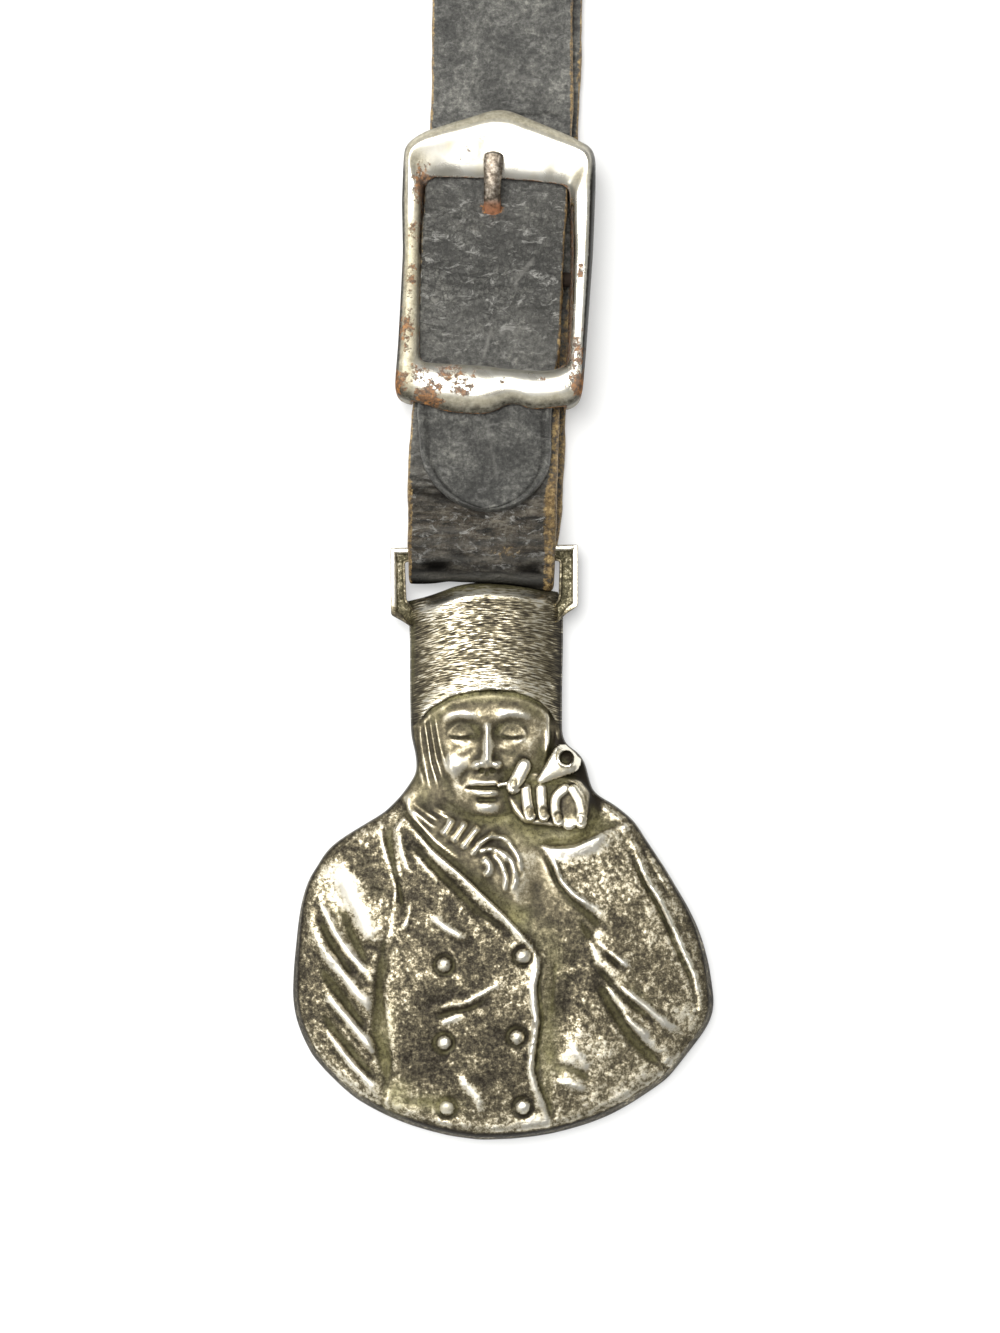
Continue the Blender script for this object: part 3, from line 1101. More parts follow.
def bust_patina(points, heights, on_hat, cloth, edge_distance, tufts):
    """How far each point is worn bright, and how green it is with crust."""
    table = heights.reshape(RELIEF_ROWS, RELIEF_COLUMNS)
    wide = (table - blurred(table, (12, 9))).ravel()
    close = (table - blurred(table, (3, 2))).ravel()
    head = (1 - cloth) * (1 - on_hat)
    high = 0.40 + 0.75 * np.clip(wide, -0.5, 0.5) + 2.6 * np.clip(close, -0.2, 0.2)
    high += head * (0.10 + 0.5 * np.clip(wide, -0.4, 0.4) + 1.2 * np.clip(close, -0.2, 0.2))
    high = np.minimum(high, 0.92)
    for *place, strength in wear_places:
        high += strength * patch(points, *place)
    x, y = points[:, 0], points[:, 1]
    side = np.abs((x - CROWN_MIDDLE_PX) / HAT_HALF_WIDTH_PX)
    crown = 0.36 - 0.42 * smooth_step(side, 0.66, 1.04) - 0.16 * (1 - smooth_step(y, 586, 625))
    brim_band = bell(np.interp(x, *zip(*brim_px)) - y - 11, 16)
    top_light = 0.32 * (1 - smooth_step(y - np.interp(x, *zip(*top_px)), 3, 22))
    high += on_hat * (top_light + crown + 0.05 * brim_band + 0.20 * (tufts - 0.5) - 0.26)
    low_edge = 0.40 * bell(edge_distance - 7.0, 2.0) * smooth_step(y, 900, 1000)
    high += low_edge * lattice(x / 14, y / 14, 61)
    green = np.zeros(len(points))
    for *place, strength in crust_places:
        green = np.maximum(green, strength * patch(points, *place))
    green += 0.35 * smooth_step(-wide, 0.03, 0.25) * (1 - on_hat) * smooth_step(edge_distance, 8, 20)
    return np.clip(high, -0.4, 1.3), np.clip(green, 0, 0.9)


def extrude_ring(piece, numbers, places, **masks):
    """Extrude the selected edges, and put each new point at the place of its number."""
    bpy.ops.mesh.extrude_edges_move()
    set_ring(piece, numbers, places, **masks)


def set_ring(piece, numbers, places, **masks):
    """Put the selected points at the places of their numbers, in millimetres, with their masks."""
    shape = bmesh.from_edit_mesh(piece.data)
    layers = shape.verts.layers.float
    masks = {name: np.broadcast_to(values, len(places)) for name, values in masks.items()}
    for vert in shape.verts:
        if vert.select:
            number = int(round(vert[layers[numbers]]))
            vert.co = places[number] * MM
            for name, values in masks.items():
                vert[layers[name]] = values[number]
    bmesh.update_edit_mesh(piece.data)


# Side wall of the bust: inset in shares of the rim's, height in millimetres, patina of each ring
wall_rings = [(0.84, 1.64, 0.3), (0.45, 1.25, 0.24), (0.0, 0.5, 0.05), (0.15, 0.12, 0.0), (0.6, 0.0, 0.15)]
WALL_VIEW_HEIGHT = 0.6

# Hollow in the back: its outline in pixels, then inset in pixels and height of each ring
hollow_px = [
    (430, 850), (475, 838), (520, 838), (565, 842), (605, 850), (640, 885), (660, 925), (677, 965),
    (683, 1000), (665, 1044), (625, 1078), (570, 1100), (510, 1110), (450, 1106), (395, 1090), (350, 1060),
    (325, 1020), (320, 960), (330, 905), (370, 870)]
hollow_rings = [(1.5, 0.15), (4.0, 0.42), (8.0, 0.6), (14.0, 0.7)]
BACK_PATINA = 0.35


def extrude_side_wall(piece):
    """Side wall from the front's rim down to the back."""
    flat = seen_at(outline_ring[:, 0], outline_ring[:, 1], WALL_VIEW_HEIGHT)[:, :2]
    ring_in = np.stack([outline_inward[:, 0], -outline_inward[:, 1]], 1) * PHOTO_SCALE
    for inset_share, height, tone in wall_rings:
        level = flat + ring_in * inset_share * rim_inset_px[:, None]
        extrude_ring(piece, "rim", np.column_stack([level, np.full(len(level), height)]), high=tone)


def fill_hollow_back(piece):
    """Flat back from the wall's last ring, with a shallow hollow sunk into it."""
    loop = eased(dense_line(hollow_px + hollow_px[:1], 6.0)[:-1], 6, closed=True)
    loop_in = inward(loop)
    places = seen_at(loop[:, 0], loop[:, 1], 0)
    wall_edges = [edge.index for edge in bmesh.from_edit_mesh(piece.data).edges if edge.select]
    bpy.ops.mesh.select_all(action="DESELECT")
    bpy.ops.mesh.primitive_circle_add(vertices=len(loop), radius=0.01, fill_type="NOTHING")
    shape = bmesh.from_edit_mesh(piece.data)
    shape.verts.ensure_lookup_table()
    shape.edges.ensure_lookup_table()
    for number, vert in enumerate(shape.verts[-len(loop):]):
        vert.co = places[number] * MM
        vert[shape.verts.layers.float["rim"]] = number
        vert[shape.verts.layers.float["high"]] = BACK_PATINA
    for index in wall_edges:
        shape.edges[index].select = True
    bmesh.update_edit_mesh(piece.data)
    bpy.ops.mesh.fill(use_beauty=True)
    bpy.ops.mesh.select_all(action="DESELECT")
    select_loop(piece, len(loop))
    for inset_px, height in hollow_rings:
        spots = loop + loop_in * inset_px
        extrude_ring(piece, "rim", seen_at(spots[:, 0], spots[:, 1], 0) + (0, 0, height))
    bpy.ops.mesh.fill(use_beauty=True)


def select_loop(piece, count):
    """Select the edges that join neighbours on the loop of the last points of a mesh."""
    shape = bmesh.from_edit_mesh(piece.data)
    shape.verts.ensure_lookup_table()
    rim = shape.verts.layers.float["rim"]
    loop_verts = set(shape.verts[-count:])
    for edge in shape.edges:
        if loop_verts.issuperset(edge.verts):
            first, last = sorted(int(round(vert[rim])) for vert in edge.verts)
            if last - first in (1, count - 1):
                edge.select = True
    bmesh.update_edit_mesh(piece.data)


def make_bust():
    """Front relief from a grid, then its side wall and its back with a shallow hollow."""
    piece, column, row = grid("medallion_bust", RELIEF_COLUMNS, RELIEF_ROWS)
    points = front_places()
    heights, on_hat, cloth, edge_distance, (fur_along, fur_row, tufts) = relief(points)
    high, green = bust_patina(points, heights, on_hat, cloth, edge_distance, tufts)
    rim = np.full((RELIEF_ROWS, RELIEF_COLUMNS), -1.0)
    rim[rim_rows, rim_columns] = np.arange(len(rim_rows))
    masks = {
        "high": high, "green": green, "pitted": 0.28 + 0.44 * cloth - 0.12 * on_hat,
        "fur": on_hat * smooth_step(points[:, 1], 570, 580) * 0.46,
        "fur_along": fur_along, "fur_row": fur_row, "rim": rim.ravel()}
    # The relief's rows run down from the hat, those of the grid run up
    order = (RELIEF_ROWS - 1 - row) * RELIEF_COLUMNS + column
    place_points(piece, seen_at(points[:, 0], points[:, 1], heights)[order])
    for name, values in masks.items():
        store(piece, name, values[order])
    bpy.ops.object.mode_set(mode="EDIT")
    bpy.ops.mesh.select_mode(type="EDGE")
    bpy.ops.mesh.select_all(action="DESELECT")
    bpy.ops.mesh.select_non_manifold(extend=False)
    extrude_side_wall(piece)
    fill_hollow_back(piece)
    bpy.ops.mesh.select_all(action="SELECT")
    bpy.ops.mesh.normals_make_consistent(inside=False)
    bpy.ops.object.mode_set(mode="OBJECT")
    bpy.ops.object.shade_smooth_by_angle(angle=math.radians(60))
    return piece


# Loop above the hat: its outline in pixels, clockwise from the upper left corner
loop_px = [
    (390.5, 548), (484, 546), (578, 544.5), (578, 606), (566, 614), (556, 624), (549, 622), (551, 608),
    (558.5, 598), (559.5, 561), (484, 561), (405, 562), (406.5, 600), (416, 610), (418, 624), (411, 627),
    (402, 621), (391, 615)]
LOOP_MIDDLE_PX = 484
# Rings from the back's edge over the rim into the recess: inset in pixels, height, patina
loop_rings = [
    (1.2, -0.5, 0.1), (0, -0.36, 0.1), (0, 0.2, 0.3), (0.5, 0.42, 0.85), (1.2, 0.5, 1.05), (4.6, 0.5, 1.0),
    (5.6, 0.42, 0.8), (6.3, 0.26, 0.24), (7.4, 0.2, 0.44)]
RECESS_INSET_PX = 6


def make_loop_plate():
    """Rectangular loop above the hat: a bar and two arms with bright raised rims."""
    loop = eased(dense_line(loop_px + loop_px[:1], 1.5)[:-1], 2, closed=True)
    loop_in = inward(loop)
    deselect()
    bpy.ops.mesh.primitive_circle_add(vertices=len(loop), radius=0.01, fill_type="NOTHING")
    piece = named("medallion_loop")
    store(piece, "number", np.arange(len(loop)))
    for name in ("high", "green", "pitted"):
        store(piece, name, np.zeros(len(loop)))
    at_outside = ((loop[:, 0] < 401) | (loop[:, 0] > 566) | (loop[:, 1] < 553)).astype(float)
    at_outside = eased(at_outside[:, None], 6, closed=True)
    bpy.ops.object.mode_set(mode="EDIT")
    bpy.ops.mesh.select_mode(type="EDGE")
    bpy.ops.mesh.select_all(action="SELECT")
    for step, (inset_px, rise, tone) in enumerate(loop_rings):
        x, y = (loop + loop_in * inset_px * (0.5 + 0.5 * at_outside)).T
        to_hat = np.where(x < LOOP_MIDDLE_PX, smooth_step(x, 406, 418), smooth_step(-x, -560, -549))
        sunk = 0.9 * to_hat * smooth_step(y, 596, 610)
        places = seen_at(x, y, loop_bar.z + rise - sunk * (rise > -0.3))
        at_foot = smooth_step(y, 600, 616)
        bright = tone * (0.45 + 0.55 * at_outside[:, 0]) * (1 - at_foot) + 0.3 * at_foot
        recessed = inset_px > RECESS_INSET_PX
        lay = extrude_ring if step else set_ring
        lay(piece, "number", places, high=bright, green=0.3 * recessed, pitted=1.15 if recessed else 0.5)
    bpy.ops.mesh.fill(use_beauty=True)
    bpy.ops.object.mode_set(mode="OBJECT")
    close_up(piece, fill_ends=True)
    return piece


# Leather strap


def arc(centre, radius, start_deg, end_deg, count):
    """Places round part of a circle."""
    angles = np.radians(np.linspace(start_deg, end_deg, count))
    return [(centre[0] + radius * math.cos(a), centre[1] + radius * math.sin(a)) for a in angles]


# Middle line of the strip: place along the strap, height, thickness, sideways shift, half width
STRIP = [
    [(17.4, 1.7, 0.8, -0.1, 6.1), (BAR_PLACE, 1.7, 0.8, -0.1, 6.1)],
    [(*place, 0.8, -0.1, 6.1) for place in arc((BAR_PLACE, BAR_HEIGHT), 1.15, -84, 84, 9)],
    [(24.4, 4.0, 0.8, -0.1, 6.1), (23.4, 4.0, 0.8, -0.1, 6.1), (21.5, 3.5, 0.9, -0.15, 6.15),
        (18.6, 2.8, 1.2, -0.2, 6.25), (12.6, 2.8, 1.2, -0.28, 6.42), (8.5, 2.8, 1.2, -0.28, 6.56),
        (5.0, 3.42, 1.2, -0.26, 6.56), (1.3, 4.07, 1.2, -0.12, 6.46), (0, 4.1, 1.2, -0.08, 6.42)],
    [(along * 1.17, height, 1.2, shift, 6.36) for (along, height), shift in zip(
        arc((0, 2.35), 1.75, 96, 264, 13), np.linspace(-0.06, 0.06, 13))],
    [(0, 0.6, 1.2, 0.08, 6.34), (4, 0.6, 1.2, 0.5, 6.35), (12.6, 0.6, 1.2, 0.55, 6.25),
        (24, 0.6, 1.2, 0.55, 6.25), (37.6, 0.6, 1.2, 0.6, 6.25), (44.6, 0.6, 1.2, 0.66, 6.25),
        (50, 0.6, 1.2, 0.5, 6.25), (60, 0.6, 1.2, 0.52, 6.25), (84, 0.6, 1.2, 0.72, 6.25),
        (106.4, 0.6, 1.2, 0.92, 6.25)],
    [(*place, 1.2, 0.93, 6.25) for place in arc((106.4, 3.6), 3.0, -84, 84, 15)],
    [(106.4, 6.6, 1.2, 0.93, 6.25), (101.8, 6.6, 1.2, 0.9, 6.25), (95.8, 4.25, 1.2, 0.84, 6.25),
        (89.8, 1.95, 1.2, 0.76, 6.25), (84, 1.9, 1.2, 0.6, 6.25), (70, 1.9, 1.2, 0.25, 6.25),
        (60, 1.9, 1.2, 0.0, 6.25), (49, 1.9, 1.2, -0.32, 6.22), (43.8, 1.9, 1.2, -0.12, 6.22),
        (40.1, 2.0, 1.2, 0.04, 6.25), (36.6, 3.0, 1.2, 0.04, 6.25), (33.2, 4.0, 1.2, -0.08, 6.26),
        (28.0, 5.05, 1.2, -0.21, 6.26), (22.6, 5.05, 1.2, -0.21, 6.22), (18.0, 4.4, 1.2, -0.2, 6.18),
        (16.4, 4.15, 1.2, -0.26, 6.1), (11.7, 4.1, 1.2, -0.36, 5.8), (9.3, 4.12, 1.2, -0.16, 5.75),
        (3.55, 4.9, 1.2, 0.16, 5.75)],
]
STRIP_STEP = 0.30
TOP_POINTS = 54
UNDER_POINTS = TOP_POINTS // 3
TIP_RUN = 7.5
TIP_STATIONS = 60
FOLD_RUN = 38.2


def strip_stations():
    """Stations along the strip's middle line: its five numbers and the run so far."""
    route = np.array([point for part in STRIP for point in part])
    keep = np.concatenate([[True], np.linalg.norm(np.diff(route[:, :2], axis=0), axis=1) > 0.02])
    line = eased(fine_line(route[keep], 0.1), 14)
    length = run_along(line)[-1]
    tip_places = length - TIP_RUN * (1 - np.linspace(0, 1, TIP_STATIONS)) ** 1.8
    places = np.concatenate([np.arange(0, length - TIP_RUN, STRIP_STEP), tip_places])
    return np.column_stack([at_runs(line, places), places]), length


def fine_line(points, step):
    """Points along a line at no less than a step, with its ends."""
    length = run_along(points)[-1]
    return at_runs(points, np.linspace(0, length, int(length / step) + 1))


def strip_section():
    """Section of the strip from its right upper corner: share across and share through."""
    side = [(0.988, 0.82), (1.0, 0.4), (1.0, -0.4), (0.988, -0.82)]
    top = [(share, 1.0) for share in np.linspace(0.966, -0.966, TOP_POINTS)]
    under = [(share, -1.0) for share in np.linspace(-0.966, 0.966, UNDER_POINTS)]
    loop = top + [(-a, t) for a, t in side] + under + [(a, t) for a, t in reversed(side)]
    return np.array(loop + loop[:1]).T


# Marks in the leather of the window, in pixels: width in millimetres, depth, how pale, route
leather_marks = [
    (0.17, 0.09, 0.55, [(418, 320), (440, 323), (457, 327.5), (474, 332), (488, 335), (514, 335),
        (533, 328), (552, 331)]),
    (0.17, 0.08, 0.8, [(491, 332), (487, 345), (484, 358)]),
    (0.2, -0.05, 0.9, [(533, 263), (524, 274), (514, 288), (517, 293)]),
    (0.26, 0.07, 0.1, [(422, 212), (436, 213), (446, 217), (457, 221), (475, 224)]),
    (0.24, 0.05, 0.1, [(418, 248), (430, 249), (441, 247)]),
    (0.24, 0.05, 0.2, [(505, 223), (525, 228), (545, 229), (562, 233)]),
    (0.22, 0.05, 0.2, [(452, 277), (470, 286), (486, 290)]),
    (0.22, 0.05, 0.2, [(500, 300), (520, 310), (545, 312)]),
    (0.28, 0.08, 0.0, [(513, 110), (530, 112), (546, 109), (559, 112)]),
    (0.18, 0.04, 0.4, [(500, 62), (514, 70), (528, 74)]),
    (0.16, 0.04, 0.3, [(486, 425), (492, 450), (497, 480)]),
    (0.24, 0.10, 0.4, [(413, 527), (430, 530), (462, 531)]),
    (0.40, 0.10, 0.2, [(413, 545), (440, 541), (470, 545), (510, 540), (548, 542)]),
    (0.34, 0.10, 0.2, [(412, 557), (436, 556), (462, 560), (500, 558), (545, 560)]),
    (0.40, 0.14, 0.0, [(412, 567), (440, 565), (470, 570), (520, 571), (552, 572)]),
    (0.40, 0.12, 0.3, [(412, 575), (450, 577), (500, 576), (552, 580)]),
]


def leather_surface(run, across, along, height, to_tip):
    """Rise of the leather's own unevenness, and how cracked it is."""
    surface = 0.05 * ripple(along, across, 5.0, 43, height) + 0.02 * ripple(along, across, 1.8, 44, height)
    cells = lattice(across / 0.75, run / 0.6, 46) + 0.6 * lattice(across / 0.42, run / 0.36, 47)
    cracked = bell(to_tip - 21.5, 7.5) + 0.25 + 0.8 * bell(run - 33.0, 4.5)
    surface += 0.08 * (cells - 0.8) * cracked
    surface += 0.16 * (lattice(across / 2.4, run / 0.5, 48) - 0.5) * bell(run - 34.5, 6.5)
    return surface, cracked


def press_marks(points, facing):
    """Press the marks into the leather that faces up, and say how pale and how dark they are."""
    pale = np.zeros(len(points))
    in_crease = np.zeros(len(points))
    seen = points[facing]
    level = np.median(seen[:, 2]) + 0.6
    for width, depth, light, route in leather_marks:
        line = dense_line(route, 3)
        line = seen_at(line[:, 0], line[:, 1], level)[:, :2]
        distance, _, _ = distance_to(seen[:, :2], eased(line, 1))
        mark = bell(distance, width)
        points[facing, 2] -= depth * mark
        pale[facing] = np.maximum(pale[facing], light * mark)
        if light < 0.3:
            in_crease[facing] = np.maximum(in_crease[facing], 0.55 * bell(distance, width * 0.8))
    return pale, in_crease


def at_tongue_end(to_tip):
    """1 within about a centimetre of the tongue's tip, 0 further back."""
    return smooth_step(-to_tip, -13, -10)


def rubbed_tan(run, across, to_tip, from_edge, outer):
    """How far the dye is rubbed to tan: at the cut edges and down both sides of the fold."""
    cut_edge = smooth_step(-from_edge, -0.26, -0.12)
    rubbed = smooth_step(-from_edge, -0.5, -0.1) * outer
    worn = np.maximum(0.62 * cut_edge, 0.34 * rubbed)
    lower_end = smooth_step(run, 12, 22) * (1 - smooth_step(run, 60, 70))
    near_fold = smooth_step(run, 27, 31)
    right_band = smooth_step(across + 0.45 * near_fold, 5.5, 6.1) * (0.46 + 0.2 * bell(run - 31, 3.5))
    left_band = smooth_step(-across, 5.8, 6.3) * 0.62 * near_fold
    worn = np.maximum(worn, lower_end * np.maximum(right_band, left_band))
    worn = np.maximum(worn, 0.34 * bell(run - 35.0, 1.5) * bell(across - 2.2, 3.4) * outer)
    on_tongue = smooth_step(-to_tip, -32, -30)
    return worn * (1 - np.maximum(0.45 * on_tongue * (across < 0), 0.7 * at_tongue_end(to_tip)))


def blackened_fold(run, across, outer):
    """How black the fold is: in streaks across the strap, that start further back at the left."""
    near_fold = run + 0.7 * smooth_step(-across, -1, 4) + 0.5 * smooth_step(across, 2.5, 5)
    front_of_fold = (1 - smooth_step(run, 40, 42)) * outer
    blackened = smooth_step(near_fold, FOLD_RUN - 4.0, FOLD_RUN - 1.2) * front_of_fold
    streaks = smooth_step(lattice(across / 2.0, run / 0.28, 49), 0.3, 0.7)
    # Its last millimetre is black, and so are some creases beside the tongue's end
    rolled = smooth_step(near_fold, FOLD_RUN - 2.2, FOLD_RUN - 0.9) * (0.75 + 0.25 * streaks) * front_of_fold
    beside_tongue = 0.85 * streaks * bell(run - 30.0, 2.2) * smooth_step(-across, -2.5, 3.0) * outer
    return np.maximum.reduce([blackened * (0.3 + 0.7 * streaks), rolled, beside_tongue])


def strip_edges(along, run, to_tip, half, share_across):
    """Places across the strip and their distance from its edge, with the neck and the round tip."""
    half = half - (STRAP_WIDTH - NECK_WIDTH) / 2 * smooth_step(along, 82, 92)
    tip = np.clip(to_tip / TONGUE_HALF_WIDTH, 0, 1)
    half = half * np.sqrt(np.clip(1 - (1 - tip) ** 2, 0.0004, 1))
    side = np.sign(share_across)
    uneven = 0.07 * ripple(run, side * 9, 4.5, 41) + 0.06 * (lattice(run / 0.7, side * 3.3, 42) - 0.5)
    uneven *= 1 - 0.7 * bell(run - FOLD_RUN, 5)
    across = share_across * (half + uneven)
    return across, half - np.abs(across)


def make_strap():
    """One leather strip: chape, fold on the loop bar, back leaf, bow fold and tongue."""
    stations, length = strip_stations()
    shares = strip_section()
    piece, u, v = grid("leather_strap", shares.shape[1], len(stations))
    along, height, thick, shift, half, run = stations[v].T
    share_across, share_through = shares[:, u]
    outer = share_through > 0.9
    to_tip = length - run
    across, from_edge = strip_edges(along, run, to_tip, half, share_across)
    # Height off the middle line: the leather's surface, the tongue's pressed rim and the hole
    surface, cracked = leather_surface(run, across, along, height, to_tip)
    offset = share_through * thick / 2 + surface * outer
    on_rim = smooth_step(-to_tip, -12, -8)
    rim = bell(from_edge - 0.72, 0.22) * on_rim
    offset -= (0.13 * rim - 0.05 * bell(from_edge - 0.45, 0.2) * on_rim) * outer
    hole = np.hypot(across + shift + 0.43, (along - HOLE_PLACE) * 0.9)
    at_hole = outer * smooth_step(-to_tip, -34, -31)
    offset -= 0.42 * bell(hole, 1.0) * at_hole
    ahead = np.gradient(stations[:, :2], axis=0)
    ahead /= np.linalg.norm(ahead, axis=1)[:, None]
    ahead_along, ahead_up = eased(ahead, 2)[v].T
    along_strap = along + ahead_up * offset
    # The fold bulges less at its two sides
    along_strap -= 0.34 * smooth_step(-across, 2.5, 6.2) * bell(run - FOLD_RUN, 3.4)
    along_strap -= 0.34 * smooth_step(across, 1.0, 6.2) * bell(run - FOLD_RUN, 3.4)
    points = strap_to_row(across + shift, along_strap, height - ahead_along * offset)
    pale, in_crease = press_marks(points, outer & (height > 1.3))
    points[:, 2] = np.maximum(points[:, 2], 0)
    place_points(piece, points)
    scuffs = 0.20 * bell(to_tip - 21.0, 8.5) * outer * (0.5 + lattice(across / 2.4, run / 1.6, 51))
    dark = np.maximum(blackened_fold(run, across, outer), in_crease) + 0.4 * rim
    dark = dark + 0.25 * at_tongue_end(to_tip) * outer
    store(piece, "worn", rubbed_tan(run, across, to_tip, from_edge, outer))
    store(piece, "dark", np.clip(dark, 0, 1))
    store(piece, "rust", bell(hole + 0.5 * (along - HOLE_PLACE > 0), 1.35) * at_hole)
    store(piece, "pale", np.maximum(pale, scuffs))
    store(piece, "cracked", np.clip(cracked, 0, 1.2))
    store(piece, "creased", bell(run - 34, 6.5) * outer)
    close_up(piece, fill_ends=True)
    return piece


# Buckle and prong

RAIL_BOTTOM = 1.7
BAR_UNDERSIDE = 5.05
LIP_Z = 5.45
WINDOW_HALF = 6.75

# Outer edge of the buckle, clockwise from its left shoulder, in pixels
buckle_top_px = [
    (404, 149), (406, 145.5), (410, 141), (418, 135), (428, 130.5), (450, 123.5), (470, 117.5),
    (486, 112.3), (493, 110.5), (500, 110), (507, 110.6), (515, 113), (528.5, 118.7), (550, 127.5),
    (571, 136.5), (586, 144), (591, 147.5), (594.5, 152)]
buckle_right_px = [(594.5, 152), (596, 158), (596, 186), (593.5, 250), (590, 300), (586.5, 350), (584, 378)]
buckle_bottom_px = [
    (584, 378), (583, 389), (581, 396), (577, 401.5), (568.6, 405.5), (556, 407), (543, 408.5), (530, 409),
    (518.4, 403.5), (507, 404), (495.5, 410.7), (485.4, 413.6), (470, 413.5), (454, 412), (441, 410),
    (428, 405), (411, 400.6), (401, 397.5), (396, 393), (394.5, 387)]
buckle_left_px = [
    (394.5, 387), (395, 375), (397.5, 345), (400, 300), (402.5, 250), (401.5, 200), (403, 160), (404, 149)]

# Window of the buckle from its upper left corner, in pixels
window_top_px = [
    (421, 185), (424, 179.5), (431, 176.8), (455, 177), (480, 178), (504, 178.5), (535, 181), (560, 184),
    (569, 186), (573, 191)]
window_right_px = [(573, 191), (574.5, 250), (573, 300), (571.5, 340), (570, 361)]
window_bottom_px = [
    (570, 361), (566, 366.5), (555, 370), (537, 371), (508, 369), (485, 366), (450, 364), (424, 362.5),
    (417.5, 358)]
window_left_px = [(417.5, 358), (418, 300), (419, 240), (420, 205), (421, 185)]


def buckle_place(table):
    """Buckle places from its centre bar, in millimetres, of pixels of the photograph."""
    table = np.asarray(table, float)
    across, along = row_to_strap(seen_at(table[:, 0], table[:, 1], LIP_Z - 0.2))
    return np.stack([across, along - BAR_PLACE], 1)


def even(points, count):
    """A line as a set number of evenly spaced points, without its last."""
    return at_runs(points, np.linspace(0, run_along(points)[-1], count + 1)[:-1])


# Stations round the frame on its top, right, low and left sides
SIDE_STATIONS = (96, 72, 84, 72)
side_of_station = np.repeat(range(len(SIDE_STATIONS)), SIDE_STATIONS)

# Section of the frame from the window's edge outwards: share across, and height above the lip
section_shares = np.array([0.0, 0.03, 0.09, 0.18, 0.30, 0.44, 0.56, 0.66, 0.74, 0.80, 0.86, 0.92, 0.97, 1.0])
top_rise = np.array([-0.14, 0.04, 0.20, 0.35, 0.49, 0.64, 0.78, 0.90, 0.96, 0.92, 0.74, 0.44, 0.15, -0.1])
rail_rise = np.array([0.50, 0.72, 0.84, 0.92, 0.96, 0.98, 0.97, 0.93, 0.84, 0.68, 0.42, 0.05, -0.4, -0.9])
low_rise = np.array([-0.05, 0.24, 0.52, 0.76, 0.90, 0.96, 0.96, 0.91, 0.82, 0.68, 0.46, 0.18, -0.06, -0.3])
FACE_POINTS = len(section_shares)
WALL_POINTS = 4
BASE_POINTS = 5

# Rust: place from the centre bar, reach in millimetres, strength
rust_places = [
    (-8.2, -10.2, 1.9, 1.0), (8.0, -9.6, 1.9, 1.0), (-5.2, -11.2, 2.6, 0.85), (-2.4, -10.2, 2.2, 0.72),
    (-3.6, -9.0, 2.4, 0.74), (-6.2, -9.4, 1.8, 0.70), (-7.4, -5.5, 1.5, 0.72), (-7.2, -1.0, 1.3, 0.68),
    (-7.1, 3.2, 1.3, 0.66), (-6.6, 7.3, 1.2, 1.1), (7.5, 0.1, 0.5, 0.95), (7.4, -6.8, 1.5, 0.72),
    (-1.4, -9.2, 0.5, 0.95), (1.2, -9.6, 0.9, 0.66), (4.6, -9.4, 1.0, 0.66), (-8.3, -3.0, 1.0, 0.6),
    (6.9, -3.5, 0.8, 0.62), (-3.0, 10.4, 1.6, 0.5)]


def frame_edge(sides_px, rounds):
    """One place for each station on an edge of the frame that is given as four sides."""
    places = [even(buckle_place(side), count) for side, count in zip(sides_px, SIDE_STATIONS)]
    return eased(np.concatenate(places), rounds, closed=True)


def round_the_frame(*by_side, rounds=50):
    """Value of each station for the top, right, low and left sides, blended over the corners."""
    return eased(np.array(by_side, float)[side_of_station][:, None], rounds, closed=True)


def base_height(x, inset):
    """Height of the frame's underside: low on the rails, high over the leather."""
    return np.where(np.abs(x) > WINDOW_HALF - inset, RAIL_BOTTOM, BAR_UNDERSIDE)


def frame_section(inside, outside, rise):
    """Points once round the frame's section between the window's edge and the outer edge."""
    across = outside - inside
    face = np.column_stack([inside + section_shares[:, None] * across, LIP_Z + rise])
    outer_wall = np.linspace(face[-1, 2], base_height(face[-1, 0], 0.05), WALL_POINTS + 1)[1:]
    base = inside + np.linspace(1, 0, BASE_POINTS + 2)[1:-1, None] * across
    inner_wall = np.linspace(base_height(inside[0], 0.1), face[0, 2], WALL_POINTS + 1)[:-1]
    # The rails lean over the window's sides, more towards the top at the left
    lean = 1 if inside[0] > 0 else 0.6 + 0.7 * smooth_step(inside[1], 0, 5)
    lean_in = -0.34 * np.sign(inside[0]) * smooth_step(abs(inside[0]), 5.4, 6.2)
    lean_in = lean_in * np.linspace(1, 0, WALL_POINTS + 1)[:-1] * lean
    return np.concatenate([
        face,
        np.column_stack([np.repeat(outside[None], WALL_POINTS, 0), outer_wall]),
        np.column_stack([base, base_height(base[:, 0], 0.05)]),
        np.column_stack([inside[0] + lean_in, np.repeat(inside[1], WALL_POINTS), inner_wall])])


def frame_rust(x, y, z):
    """Rust in spots, longer along the rails, and down the walls of the window."""
    rust = 0.8 * (z < LIP_Z - 0.1) * (np.abs(x) < WINDOW_HALF + 0.2)
    for at_x, at_y, reach, strength in rust_places:
        longer = 0.4 if abs(at_x) > 6.4 and abs(at_y) < 8 else 1
        rust = np.maximum(rust, strength * bell(np.hypot(x - at_x, (y - at_y) * longer), reach))
    return rust


